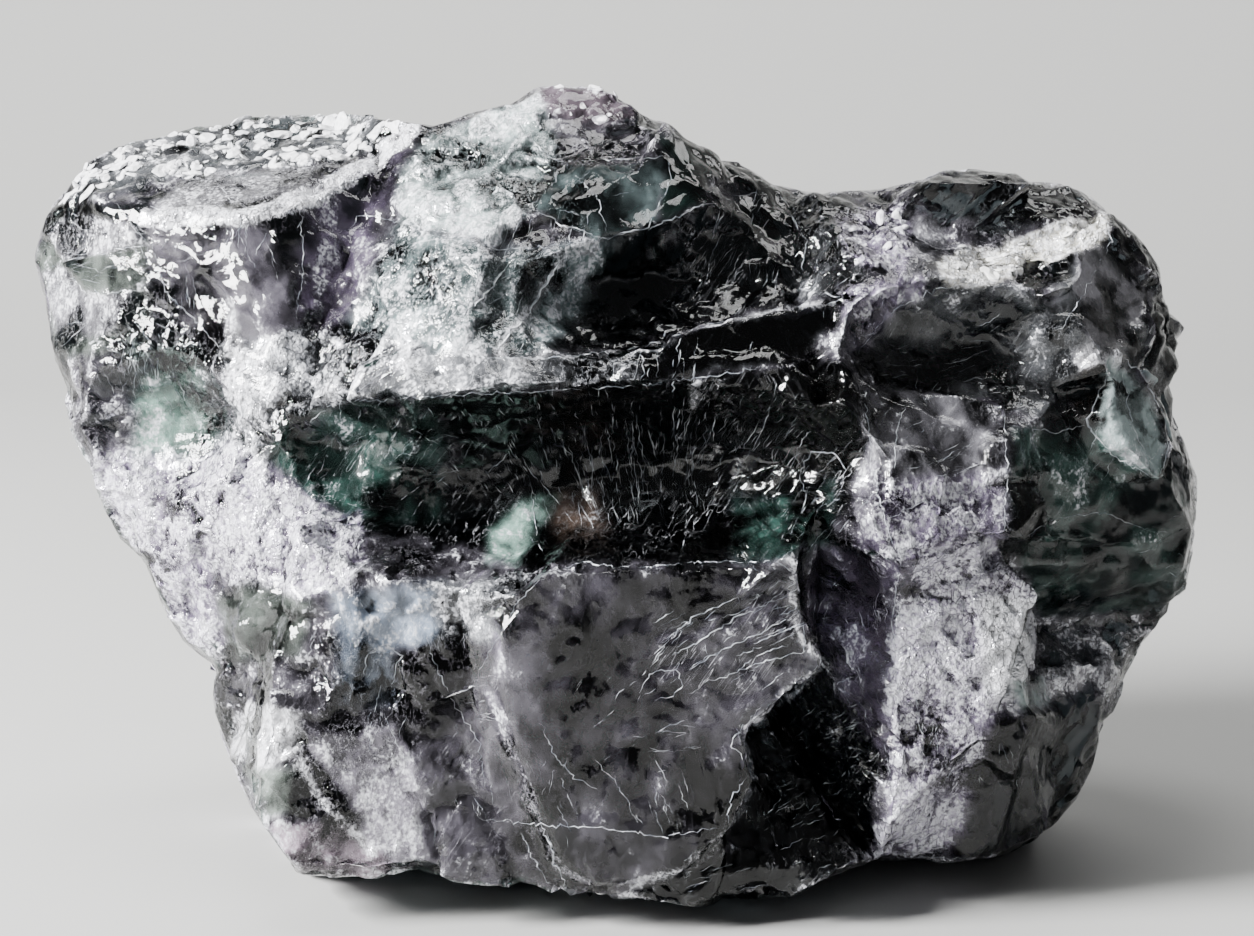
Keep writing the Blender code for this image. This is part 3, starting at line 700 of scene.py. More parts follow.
@dataclass(frozen=True)
class UnseenBands:
    """Finish of the back and the sides: bands of purple and green, crackled in broad patches.

    course is how fast the bands follow one another along each axis, in radians a millimetre. Of frost,
    haze and relief, the first value holds between patches, and a patch adds the second.
    """

    course: Triple = (0.06, 0.11, 0.05)
    meander: float = 1.6
    meander_size: float = 26.0
    patch_size: float = 17.0
    patch_edge: Span = (-0.25, 0.45)
    frost: Span = (0.16, 0.5)
    haze: Span = (0.08, 0.22)
    relief: Span = (0.35, 0.6)
    fibre: float = 0.3
    green_edge: Span = (0.1, 0.6)
    green_strength: float = 1.6
    pale_edge: Span = (-0.5, -0.9)
    pale_share: float = 0.7

    def paint(self, points: Array) -> Paint:
        """Paints every vertex as if none were seen in front.

        Args:
            points: Vertices in the front frame.

        Returns:
            Their finish.
        """
        band = np.sin(points @ np.array(self.course)
                      + self.meander * fractal(points, self.meander_size, BAND_SEED))
        patch = smooth_step(*self.patch_edge, fractal(points, self.patch_size, BACK_SEED))
        paint = Paint.even(BASE, len(points))
        paint.frost, paint.haze, paint.relief = (
            base + more * patch for base, more in (self.frost, self.haze, self.relief))
        paint.fibre = self.fibre * (1 - patch)
        paint.colour(smooth_step(*self.green_edge, band), Tint.GREEN, self.green_strength)
        paint.colour(self.pale_share * smooth_step(*self.pale_edge, band), Tint.LAVENDER)
        return paint


@dataclass
class Painter:
    """Works out the finish of every vertex from the zones and strokes of the front.

    A zone's edge strays by wander and ripple pixels, in waves of wander_size and ripple_size
    millimetres. What faces the eye within seen_facing and lies within seen_depth fades from unseen
    to seen. flats holds the weight and the limit of each facet that is pressed flat.
    """

    wander: float = 6.0
    wander_size: float = 6.0
    ripple: float = 3.0
    ripple_size: float = 1.6
    stroke_edge: float = 2.0
    stroke_stray: float = 0.4
    stroke_gap_size: float = 2.5
    stroke_gap_edge: Span = (-0.35, 0.15)
    stroke_gap_frost: float = 0.75
    stroke_gap_pull: float = 2.5
    stroke_haze: float = 0.25
    stroke_tint: float = 0.6
    seen_facing: Span = (0.02, 0.20)
    seen_depth: Span = (-26.0, -18.0)
    patch_frost: float = 0.24
    patch_floor: float = 0.3
    patch_haze: float = 0.8
    # The crest values whiten crests, partly as painted highlight; the hollow values clear hollows to dark
    # glass as painted shade
    crest_frost_and_highlight: float = 0.42
    crest_relief: Span = (0.1, 1.2)
    crest_edge: Span = (0.03, 0.16)
    hollow_edge: Span = (0.03, 0.18)
    hollow_shade_frost: float = 0.45
    hollow_shade_haze: float = 0.5
    flats: list[tuple[Array, float]] = field(default_factory=list)

    def paint(self, points: Array, facing: Array) -> Paint:
        """Paints the stone.

        Args:
            points: Vertices in the front frame.
            facing: How squarely each vertex faces the eye.

        Returns:
            The finish of each vertex.
        """
        places = photo_places(points)
        stray = (self.wander * fractals(points, self.wander_size, EDGE_SEEDS)
                 + self.ripple * fractals(points, self.ripple_size, RIPPLE_SEEDS, 2))
        front = Paint.even(BASE, len(points))
        for zone in ZONES:
            moved = places + stray * min(1.0, zone.soft / self.wander)
            weight = smooth_step(-zone.soft, zone.soft, outline_depth(moved, zone.outline))
            front.lay(weight, zone)
            if zone.name in FLATS:
                self.flats.append((weight, FLATS[zone.name]))
        self.draw_strokes(front, places + self.stroke_stray * stray,
                          fractal(points, self.stroke_gap_size, STROKE_SEED, 2))
        rest = UnseenBands().paint(points)
        seen = smooth_step(*self.seen_facing, facing) * smooth_step(*self.seen_depth, points[:, 2])
        self.flats = [(weight * seen, limit) for weight, limit in self.flats]
        for name in ("frost", "haze", "relief", "fibre", "crust"):
            setattr(rest, name, getattr(rest, name) * (1 - seen) + getattr(front, name) * seen)
        rest.tint = rest.tint * (1 - seen[:, None]) + front.tint * seen[:, None]
        return rest

    def draw_strokes(self, front: Paint, places: Array, gaps: Array) -> None:
        """Draws the white strokes over the zones.

        Args:
            front: The finish of each vertex, changed in place.
            places: Photograph pixels of the vertices.
            gaps: Noise that breaks the weaker strokes.
        """
        for stroke in STROKES:
            away = np.full(len(places), np.inf)
            for first, second in zip(stroke.line, stroke.line[1:]):
                away = np.minimum(away, segment_distance(places, first, second))
            half = stroke.width / 2
            whole = self.stroke_gap_pull * (stroke.frost - self.stroke_gap_frost)
            weight = 1.0 - smooth_step(half, half + self.stroke_edge, away)
            weight *= smooth_step(*self.stroke_gap_edge, gaps + whole)
            front.frost += weight * (stroke.frost - front.frost)
            front.haze += weight * (self.stroke_haze - front.haze)
            front.colour(self.stroke_tint * weight, Tint.WHITE)

    def tone(self, paint: Paint, tones: Array) -> None:
        """Gives each fracture patch its own share of crackle and milk."""
        paint.frost += self.patch_frost * tones * np.minimum(1.0, self.patch_floor + paint.relief)
        paint.haze *= 1.0 + self.patch_haze * tones

    def whiten_crests_shade_hollows(self, paint: Paint, crest: Array) -> None:
        """Whitens the crests of the finished form, partly as white chipping and partly as a painted
        highlight where edges catch the light, and clears its hollows to dark glass as painted shade.

        Args:
            paint: The finish of each vertex, changed in place.
            crest: How far each vertex stands out, in millimetres.
        """
        least, more = self.crest_relief
        broken = np.minimum(1.0, least + more * paint.relief)
        hollow = smooth_step(*self.hollow_edge, -crest)
        # Painted highlight, partly real: crests get more white, as chipped edges and as edges that catch
        # the light
        paint.frost += self.crest_frost_and_highlight * broken * smooth_step(*self.crest_edge, crest)
        # Painted shade: hollows lose white and milk, so they show as dark clear glass where shade falls
        paint.frost *= 1.0 - self.hollow_shade_frost * hollow
        paint.haze *= 1.0 - self.hollow_shade_haze * hollow


@dataclass(frozen=True)
class Breakage:
    """One size of fracture patches.

    shift is how deep a patch may cut, in millimetres, lean how far it may turn off the surface, calm
    how much of it is left where the stone has no relief, and tone how much the finish follows it.
    """

    count: int
    shift: float
    lean: float
    calm: float
    tone: float
    seed: int


BROAD_BREAKS = Breakage(1300, 0.60, 0.22, 0.2, 0.60, 20)
MIDDLE_BREAKS = Breakage(4500, 0.35, 0.24, 0.1, 0.40, 21)
SMALL_BREAKS = Breakage(14000, 0.13, 0.26, 0.0, 0.15, 22)


@dataclass
class StoneForm:
    """The stone's surface: a copy of the solid's, cut into small triangles and broken finely.

    Edges are cut to front_edge millimetres where they face the eye, and to back_edge elsewhere. A patch
    moves a vertex only where it stands less steep on the surface than steepest, and raises it by no
    more than lift of what it may cut.
    """

    node: bpy.types.Object
    front_edge: float = 0.92
    back_edge: float = 2.5
    passes: int = 7
    near_facing: Span = (-0.05, 0.10)
    near_depth: Span = (-30.0, -24.0)
    patch_stray: float = 0.3
    patch_stray_size: float = 2.0
    steepest: float = 0.3
    lift: float = 0.2
    soft_depth: Span = (-20.0, -10.0)
    fewest: int = 10
    pit_size: float = 1.8
    pit_edge: Span = (0.16, 0.0)
    pit_depth: float = 0.30
    swell: float = 0.25
    sharp_angle: float = math.radians(22.0)
    cloud_size: float = 8.0
    crack_size: float = 3.4
    cloud_spread: float = 0.30

    def __post_init__(self) -> None:
        """Cuts the triangles and reads their corners."""
        self.mesh = self.cut_small()
        self.points = front_frame(vectors_of(self.mesh.vertices, "co"))
        self.ends = edge_ends(self.mesh)
        LOG.info("form: %d vertices", len(self.points))

    def cut_small(self) -> bpy.types.Mesh:
        """Copies the solid and halves its long edges until they are short, shortest in front.

        Returns:
            The mesh.
        """
        work = bmesh.new()
        work.from_mesh(self.node.data)
        work.transform(self.node.matrix_world)
        bmesh.ops.remove_doubles(work, verts=work.verts, dist=MERGE_DISTANCE)
        bmesh.ops.triangulate(work, faces=work.faces)
        mesh = bpy.data.meshes.new("fluorite_stone")
        for _ in range(self.passes):
            work.to_mesh(mesh)
            points = front_frame(vectors_of(mesh.vertices, "co"))
            facing = facing_eye(points, self.front_normals(mesh))
            first, second = edge_ends(mesh).T
            near = smooth_step(*self.near_facing, np.maximum(facing[first], facing[second]))
            near = near * smooth_step(*self.near_depth, points[first, 2])
            limit = self.back_edge + (self.front_edge - self.back_edge) * near
            length = np.linalg.norm(points[first] - points[second], axis=1)
            work.edges.ensure_lookup_table()
            long = [work.edges[k] for k in np.flatnonzero(length > limit)]
            if not long:
                break
            bmesh.ops.subdivide_edges(work, edges=long, cuts=1, use_grid_fill=True)
            bmesh.ops.triangulate(work, faces=[face for face in work.faces if len(face.verts) > 3])
        work.to_mesh(mesh)
        work.free()
        return mesh

    @staticmethod
    def front_normals(mesh: bpy.types.Mesh) -> Array:
        """Vertex normals of a mesh in the front frame."""
        across, back, height = vectors_of(mesh.vertex_normals, "vector").T
        return np.stack([across, *tipped(back, height)], axis=1)

    def normals(self) -> Array:
        """Works out the normals of the surface as it is now.

        Returns:
            One normal a vertex, in the front frame.
        """
        self.mesh.vertices.foreach_set("co", upright(self.points).astype(np.float32).ravel())
        self.mesh.update()
        return self.front_normals(self.mesh)

    def smoothed(self, values: Array, rounds: int) -> Array:
        """Averages values with their neighbours'.

        Args:
            values: One row a vertex.
            rounds: How often they are averaged.

        Returns:
            The smoother rows.
        """
        first, second = self.ends.T
        count = np.bincount(self.ends.ravel(), minlength=len(values))[:, None]
        for _ in range(rounds):
            total = np.zeros_like(values)
            for column in range(values.shape[1]):
                total[:, column] = (np.bincount(first, values[second, column], len(values))
                                    + np.bincount(second, values[first, column], len(values)))
            values = 0.5 * values + 0.5 * total / count
        return values

    def crest(self, rounds: int) -> Array:
        """How far each vertex stands above the smoothed surface, in millimetres."""
        return np.sum((self.points - self.smoothed(self.points, rounds)) * self.normals(), axis=1)

    def break_up(self, size: Breakage, standing: Array, relief: Array) -> Array:
        """Breaks the surface into flat patches that lean a little, each its own way.

        Args:
            size: The patches.
            standing: Zero on the face that the stone rests on, one above it.
            relief: How broken each vertex's zone is.

        Returns:
            A tone of each vertex's patch, from -1 to 1.
        """
        random = np.random.default_rng(size.seed)
        normals = self.normals()
        share = standing * (size.calm + (1.0 - size.calm) * relief)
        seeds = random.choice(len(self.points), size=size.count, replace=False)
        tree = KDTree(size.count)
        for number, place in enumerate(seeds):
            tree.insert(self.points[place], number)
        tree.balance()
        stray = self.patch_stray * fractals(self.points, self.patch_stray_size, PATCH_SEEDS, 2)
        nearest = np.array([tree.find(p)[1] for p in self.points + stray])
        faces = normals[seeds] + random.normal(0.0, size.lean, (size.count, 3))
        faces /= np.linalg.norm(faces, axis=1)[:, None]
        slope = np.sum(normals * faces[nearest], axis=1)
        gap = np.sum((self.points[seeds][nearest] - self.points) * faces[nearest], axis=1)
        move = np.where(slope > self.steepest, gap / np.maximum(slope, self.steepest), 0.0)
        move = np.clip(move, -size.shift, size.shift * self.lift)
        self.points = self.points + normals * (share * move)[:, None]
        return random.uniform(-1.0, 1.0, size.count)[nearest]

    def soften(self, outline: tuple[Point, ...], edge: float, rounds: int) -> None:
        """Rounds off what lies inside an outline of the front.

        Args:
            outline: Photograph pixels.
            edge: Over how many pixels it fades.
            rounds: How often it is smoothed.
        """
        weight = smooth_step(0.0, edge, outline_depth(photo_places(self.points), outline))
        weight = (weight * smooth_step(*self.soft_depth, self.points[:, 2]))[:, None]
        self.points = self.points + weight * (self.smoothed(self.points, rounds) - self.points)

    def flatten(self, weight: Array, limit: float) -> None:
        """Presses a facet towards its own plane.

        Args:
            weight: How much of this each vertex takes.
            limit: How far a vertex may move, in millimetres.
        """
        inside = self.points[weight > 0.5]
        if len(inside) < self.fewest:
            return
        middle = inside.mean(axis=0)
        normal = np.linalg.svd(inside - middle, full_matrices=False)[2][2]
        move = np.clip((middle - self.points) @ normal, -limit, limit)
        self.points = self.points + (weight * move)[:, None] * normal

    def roughen(self, share: Array) -> None:
        """Pits and grooves the broken places.

        Args:
            share: How much of this each vertex takes.
        """
        pits = np.abs(fractal(self.points, self.pit_size, PIT_SEED))
        depth = share * (self.pit_depth * smooth_step(*self.pit_edge, pits) + self.swell * pits)
        self.points = self.points - self.normals() * depth[:, None]

    def finish(self, paint: Paint) -> bpy.types.Object:
        """Makes the object, inside the solid's box, with its finish as attributes.

        Args:
            paint: The finish of each vertex.

        Returns:
            The object.
        """
        self.mesh.vertices.foreach_set("co", inside_box(self.points).astype(np.float32).ravel())
        self.mesh.polygons.foreach_set("use_smooth", np.ones(len(self.mesh.polygons), dtype=bool))
        self.mesh.set_sharp_from_angle(angle=self.sharp_angle)
        values = {name: getattr(paint, name) for name in ("frost", "haze", "fibre", "crust")}
        values["cloud"] = 0.5 + self.cloud_spread * fractal(self.points, self.cloud_size, CLOUD_SEED, 4)
        values["crack"] = 0.5 + self.cloud_spread * fractal(self.points, self.crack_size, CRACK_SEED, 3)
        for name, column in values.items():
            attribute = self.mesh.attributes.new(name, "FLOAT", "POINT")
            attribute.data.foreach_set("value", column.astype(np.float32))
        rgba = np.concatenate([paint.tint, np.ones((len(paint.tint), 1))], axis=1).astype(np.float32)
        self.mesh.attributes.new("tint", "FLOAT_COLOR", "POINT").data.foreach_set("color", rgba.ravel())
        self.mesh.update()
        return set_up("fluorite_stone", self.mesh)

    def surface(self) -> tuple[Array, Array]:
        """Reads the finished surface.

        Returns:
            Its vertices in the front frame and its triangles.
        """
        triangles = np.empty(len(self.mesh.polygons) * 3, dtype=np.int32)
        self.mesh.polygons.foreach_get("vertices", triangles)
        return self.points, triangles.reshape(-1, 3)


class Wire:
    """A node's socket that takes part in sums."""

    def __init__(self, graph: "Graph", socket: bpy.types.NodeSocket) -> None:
        """Wraps a socket of a graph."""
        self.graph = graph
        self.socket = socket

    def __add__(self, other: Any) -> "Wire":
        """Sum."""
        return self.graph.maths("ADD", self, other)

    __radd__ = __add__

    def __sub__(self, other: Any) -> "Wire":
        """Difference."""
        return self.graph.maths("SUBTRACT", self, other)

    def __rsub__(self, other: Any) -> "Wire":
        """Difference from a number."""
        return self.graph.maths("SUBTRACT", other, self)

    def __mul__(self, other: Any) -> "Wire":
        """Product."""
        return self.graph.maths("MULTIPLY", self, other)

    __rmul__ = __mul__

    def __pow__(self, other: Any) -> "Wire":
        """Power."""
        return self.graph.maths("POWER", self, other)

    def larger(self, other: Any) -> "Wire":
        """The larger of two."""
        return self.graph.maths("MAXIMUM", self, other)

    def smaller(self, other: Any) -> "Wire":
        """The smaller of two."""
        return self.graph.maths("MINIMUM", self, other)

    def near(self, level: float, width: float) -> "Wire":
        """One where a value is at a level, zero a width away."""
        return self.graph.maths("ABSOLUTE", self - level).step(0.0, width, 1.0, 0.0)

    def step(self, low: Any, high: Any, start: float = 0.0, end: float = 1.0) -> "Wire":
        """Eases from start at low to end at high."""
        inputs = {"Value": self, "From Min": low, "From Max": high, "To Min": start, "To Max": end}
        return self.graph.node("ShaderNodeMapRange", {"interpolation_type": "SMOOTHSTEP"}, inputs)["Result"]


class Outputs:
    """A node's outputs by name or number."""

    def __init__(self, graph: "Graph", node: bpy.types.Node) -> None:
        """Wraps a node of a graph."""
        self.graph = graph
        self.node = node

    def __getitem__(self, key: str | int) -> Wire:
        """One output."""
        return Wire(self.graph, self.node.outputs[key])


class Graph:
    """A node tree that is being built."""

    def __init__(self, tree: bpy.types.NodeTree) -> None:
        """Starts with an empty tree."""
        self.tree = tree
        self.tree.nodes.clear()

    def node(self, kind: str, settings: dict[str, Any] | None = None,
             inputs: dict[str | int, Any] | None = None) -> Outputs:
        """Adds a node.

        Args:
            kind: Its type.
            settings: Its properties.
            inputs: Values or wires for its inputs, by name or number.

        Returns:
            Its outputs.
        """
        node = self.tree.nodes.new(kind)
        for key, value in (settings or {}).items():
            setattr(node, key, value)
        for key, value in (inputs or {}).items():
            if isinstance(value, Wire):
                self.tree.links.new(value.socket, node.inputs[key])
            else:
                node.inputs[key].default_value = value
        return Outputs(self, node)

    def maths(self, operation: str, *values: Any) -> Wire:
        """A math node."""
        return self.node("ShaderNodeMath", {"operation": operation}, dict(enumerate(values)))[0]

    def vectors(self, operation: str, *values: Any) -> Wire:
        """A vector math node."""
        return self.node("ShaderNodeVectorMath", {"operation": operation}, dict(enumerate(values)))[0]

    def scaled(self, vector: Wire, size: Any) -> Wire:
        """A vector times a number."""
        return self.node("ShaderNodeVectorMath", {"operation": "SCALE"}, {0: vector, "Scale": size})[0]

    def noise(self, place: Wire, scale: float, detail: float = 4.0, rough: float = 0.55,
              warp: float = 0.0) -> Outputs:
        """Smooth noise: a number around one half, then a colour."""
        inputs = {"Vector": place, "Scale": scale, "Detail": detail, "Roughness": rough, "Distortion": warp}
        return self.node("ShaderNodeTexNoise", {}, inputs)


class Finish(Graph):
    """A material's node tree that is being built."""

    def __init__(self, name: str, unit: float = MM) -> None:
        """Starts a material with its object places.

        Args:
            name: The material's name.
            unit: The unit of the places, in metres.
        """
        self.material = bpy.data.materials.new(name)
        self.material.use_nodes = True
        super().__init__(self.material.node_tree)
        self.place = self.scaled(self.node("ShaderNodeTexCoord")["Object"], 1.0 / unit)

    def attribute(self, name: str, output: str = "Fac") -> Wire:
        """A mesh attribute, as a number or a colour."""
        return self.node("ShaderNodeAttribute", {"attribute_name": name})[output]

    def blend(self, share: Any, first: Any, second: Any, mode: str = "MIX") -> Wire:
        """Mixes two colours."""
        settings = {"data_type": "RGBA", "blend_type": mode}
        return self.node("ShaderNodeMix", settings, {0: share, 6: first, 7: second})[2]

    def cells(self, place: Wire, scale: float, feature: str = "F1") -> Outputs:
        """Cells of broken stone."""
        return self.node("ShaderNodeTexVoronoi", {"feature": feature}, {"Vector": place, "Scale": scale})

    def channel(self, colour: Wire, number: int) -> Wire:
        """Red, green or blue of a colour."""
        return self.node("ShaderNodeSeparateColor", {}, {0: colour})[number]

    def bump(self, strength: float, distance: float, height: Wire, **others: Wire) -> Wire:
        """A normal bumped by a height, over a distance in millimetres."""
        inputs = {"Strength": strength, "Distance": distance * MM, "Height": height, **others}
        return self.node("ShaderNodeBump", {}, inputs)["Normal"]

    def principled(self, inputs: dict[str, Any]) -> Wire:
        """A principled surface."""
        return self.node("ShaderNodeBsdfPrincipled", {}, inputs)["BSDF"]

    def either(self, share: Wire, first: Wire, second: Wire) -> Wire:
        """Mixes two surfaces."""
        return self.node("ShaderNodeMixShader", {}, {0: share, 1: first, 2: second})[0]

    def done(self, **outputs: Wire) -> bpy.types.Material:
        """Joins the output and gives the material."""
        self.node("ShaderNodeOutputMaterial", {}, outputs)
        return self.material


class Crackle(Finish):
    """The stone's patterns: what its white, its colour and its relief are read from.

    The scales say how close a pattern lies, a millimetre. The places of a pattern are where a field of
    noise passes between its two values, and an edge is how softly it ends.
    """

    GRAIN_TURN = (0.5, 0.6, 0.7)
    GRAIN_STRETCH = (1.2, 0.7, 0.75)
    GRAIN_SCALE = 0.85
    FINE_SCALE = 2.4
    FLAKE_SCALE = 0.45
    CHIP_SCALE = 1.6
    JOINT_SCALE = 1.0
    JOINT_STRAY = 1.1
    JOINT_FROST = (0.55, 0.95)
    JOINT_EDGE = (0.015, 0.085)
    JOINT_PLACES = (0.34, 0.62)
    CRACK_LEVEL = 0.59
    CRACK_WIDTH = 0.020
    CRACK_SHADE = 0.5
    VEIL_LEVEL = 2.36
    VEIL_EDGE = (0.12, 0.88)
    NET_WIDTH = 0.014
    STEEP_TRACES = (56.0, 1.3)
    STEEP_PLACES = (0.40, 0.60)
    LEANING_TRACES = (118.0, 1.0)
    LEANING_PLACES = (0.58, 0.42)
    TRACE_STRETCH = (20.0, 4.0, 1.0)
    TRACE_WIDTH = 0.013
    TRACE_WHITE = 0.95
    HAIR_PLACES = (0.66, 0.92)
    WISP_PLACES = (0.72, 1.08)
    WISP_STRENGTH = 2.4
    BUMP_STRENGTH = 0.8
    BUMP_MM = 0.28

    def __init__(self, name: str) -> None:
        """Adds the attributes and the fields of noise.

        Args:
            name: The material's name.
        """
        super().__init__(name)
        self.frost, self.haze, self.fibre, self.cloud, self.crack = (
            self.attribute(field_name) for field_name in ("frost", "haze", "fibre", "cloud", "crack"))
        self.tint = self.attribute("tint", "Color")
        self.leaning = self.node("ShaderNodeMapping", {}, {
            "Vector": self.place, "Rotation": self.GRAIN_TURN, "Scale": self.GRAIN_STRETCH})[0]
        self.grain = self.noise(self.leaning, self.GRAIN_SCALE, 4.0, 0.64, 0.5)[0]
        self.fine = self.noise(self.place, self.FINE_SCALE, 1.5, 0.6)[0]
        self.flakes = self.cells(self.leaning, self.FLAKE_SCALE)["Color"]
        self.chips = self.cells(self.leaning, self.CHIP_SCALE)["Color"]
        self.flake_rank = self.channel(self.flakes, 0)
        self.chip_rank = self.channel(self.chips, 1)

    def cracks(self) -> Wire:
        """Dark cracks and joints between the white plates.

        Returns:
            One on them, zero beside them.
        """
        bright = self.frost.step(*self.JOINT_FROST)
        strayed = self.vectors("ADD", self.leaning, self.grain * self.JOINT_STRAY)
        joints = self.cells(strayed, self.JOINT_SCALE, "DISTANCE_TO_EDGE")["Distance"]
        joints = joints.step(*self.JOINT_EDGE, 1.0, 0.0) * bright * self.crack.step(*self.JOINT_PLACES)
        thin = self.grain.near(self.CRACK_LEVEL, self.CRACK_WIDTH)
        return (thin * (0.2 + 0.6 * bright)).larger(joints)

    def white(self) -> Wire:
        """White crackle, its fine net and the cleavage traces.

        Returns:
            One where it is whitest.
        """
        veil = (self.cloud * 1.2 + self.crack * 0.8 + self.grain * 0.5 + self.flake_rank * 0.34
                + self.chip_rank * 0.12 + self.fine * 1.1 + self.frost - self.VEIL_LEVEL)
        net = self.grain.near(0.5, self.NET_WIDTH) * (self.frost * 0.9 + 0.05)
        traces = (self.scratches(*self.STEEP_TRACES) * self.cloud.step(*self.STEEP_PLACES)).larger(
            self.scratches(*self.LEANING_TRACES) * self.cloud.step(*self.LEANING_PLACES))
        hairs = traces * (0.2 + 0.6 * self.fibre.larger(self.frost))
        hairs = hairs * (self.cloud + self.crack * 0.6).step(*self.HAIR_PLACES)
        return veil.step(*self.VEIL_EDGE).larger(net).larger(hairs.smaller(1.0) * self.TRACE_WHITE)

    def scratches(self, angle: float, scale: float) -> Wire:
        """Long straight cleavage traces.

        Args:
            angle: Their slope in degrees, seen from the front.
            scale: How close they lie, a millimetre.

        Returns:
            One on the traces, zero between them.
        """
        turn = (0.0, -math.radians(angle), 0.0)
        turned = self.node("ShaderNodeMapping", {"vector_type": "TEXTURE"},
                           {"Vector": self.place, "Rotation": turn, "Scale": self.TRACE_STRETCH})[0]
        return self.noise(turned, scale, 2.0, 0.6)[0].near(0.5, self.TRACE_WIDTH)

    def colour(self, white: Wire, cracks: Wire, frost_colour: Triple) -> Wire:
        """Colour of what covers the clear stone.

        Args:
            white: How white it is.
            cracks: Where it is cracked.
            frost_colour: Colour of its white.

        Returns:
            The colour.
        """
        lit = self.grain.step(0.28, 0.62, 0.55, 1.0) * (0.86 + 0.14 * self.flake_rank)
        lit = lit * self.fine.step(0.36, 0.56, 0.38, 1.0)
        colour = self.blend(white.step(0.05, 0.85) * lit, self.tint, (*frost_colour, 1.0))
        shade = self.grain.step(0.25, 0.70, 0.80, 1.05)
        shade = shade * (0.84 + 0.12 * self.flake_rank + 0.12 * self.chip_rank)
        shade = shade * (1.0 - cracks * self.CRACK_SHADE)
        grey = self.node("ShaderNodeCombineColor", {}, {0: shade, 1: shade, 2: shade})[0]
        return self.blend(1.0, colour, grey, "MULTIPLY")

    def cover(self, white: Wire) -> Wire:
        """How much of the clear stone is covered, by milk or by white.

        Args:
            white: How white it is.

        Returns:
            Nothing at zero, all of it at one.
        """
        wisp = self.cloud + self.crack * 0.5 + self.grain * 0.2
        wisp = wisp.step(*self.WISP_PLACES, 0.0, self.WISP_STRENGTH)
        return (self.haze * wisp).larger(white).larger((self.haze - 0.5) * 1.6)

    def normal(self) -> Wire:
        """Normal of the chipped surface.

        Returns:
            The normal.
        """
        lean = self.vectors("SUBTRACT", self.vectors("ADD", self.flakes, self.chips), (1.0, 1.0, 1.0))
        lean = self.scaled(lean, 0.05 + 0.22 * self.frost)
        smooth = self.node("ShaderNodeNewGeometry")["Normal"]
        tilted = self.vectors("NORMALIZE", self.vectors("ADD", smooth, lean))
        height = self.fine * (0.04 + self.frost * self.frost)
        return self.bump(self.BUMP_STRENGTH, self.BUMP_MM, height, Normal=tilted)


@dataclass(frozen=True)
class FluoriteFinish:
    """Clear fluorite, milky in its veils and white where it is crackled."""

    ior: float = FLUORITE_IOR
    clear_roughness: float = 0.06
    fibre_roughness: float = 0.05
    fibre_coat: float = 0.2
    milky_roughness: float = 0.46
    chip_gloss: float = 0.26
    inner_roughness: float = 0.6
    silver_chips: Span = (0.70, 0.85)
    silver_white: Span = (0.2, 0.8)
    silver_share: float = 0.6
    clear_colour: Triple = (0.92, 0.94, 0.97)
    frost_colour: Triple = (0.88, 0.89, 0.95)
    absorption_colour: Triple = (0.30, 0.35, 0.37)
    absorption_density: float = 240.0

    def build(self) -> bpy.types.Material:
        """Makes the material.

        Returns:
            The material.
        """
        g = Crackle("fluorite")
        cracks = g.cracks()
        white = g.white() * (1.0 - cracks * g.CRACK_SHADE)
        silver = white.step(*self.silver_white, 0.0, self.silver_share)
        silver = g.chip_rank.step(*self.silver_chips) * silver
        normal = g.normal()
        clear = {"Base Color": (*self.clear_colour, 1.0), "IOR": self.ior, "Transmission Weight": 1.0}
        outer_clear = g.principled({
            **clear, "Roughness": self.clear_roughness + self.fibre_roughness * g.fibre, "Normal": normal})
        outer_milky = g.principled({
            "Base Color": g.colour(white, cracks, self.frost_colour), "Metallic": silver,
            "Roughness": self.milky_roughness - self.chip_gloss * g.chip_rank, "IOR": self.ior,
            "Normal": normal, "Coat Weight": 1.0 - self.fibre_coat * g.fibre,
            "Coat Roughness": self.clear_roughness, "Coat IOR": self.ior})
        outside = g.either(g.cover(white), outer_clear, outer_milky)
        inner_clear = g.principled({**clear, "Roughness": self.clear_roughness})
        inner_milky = g.principled({"Base Color": g.tint, "Roughness": self.inner_roughness, "IOR": 1.0})
        inside = g.either((g.frost * 1.1 - 0.15).larger(g.haze), inner_clear, inner_milky)
        surface = g.either(g.node("ShaderNodeNewGeometry")["Backfacing"], outside, inside)
        volume = g.node("ShaderNodeVolumeAbsorption", {}, {
            "Color": (*self.absorption_colour, 1.0), "Density": self.absorption_density})[0]
        return g.done(Surface=surface, Volume=volume)


@dataclass(frozen=True)
class GrainFinish:
    """Opaque white grains, tinted by what they grow on."""

    roughness: float = 0.42
    speck_roughness: float = 0.2
    speck_scale: float = 1.8
    speck_edge: Span = (0.3, 0.7)
    whiteness: Span = (0.55, 0.95)
    bump_strength: float = 0.4
    bump_mm: float = 0.15
    white: Triple = (0.90, 0.90, 0.92)

    def build(self) -> bpy.types.Material:
        """Makes the material.

        Returns:
            The material.
        """
        g = Finish("crust")
        speck = g.noise(g.place, self.speck_scale, 3.0)[0]
        share = speck.step(*self.speck_edge, *self.whiteness)
        return g.done(Surface=g.principled({
            "Base Color": g.blend(share, g.attribute("tint", "Color"), (*self.white, 1.0)),
            "Roughness": self.roughness + self.speck_roughness * speck,
            "Normal": g.bump(self.bump_strength, self.bump_mm, speck)}))


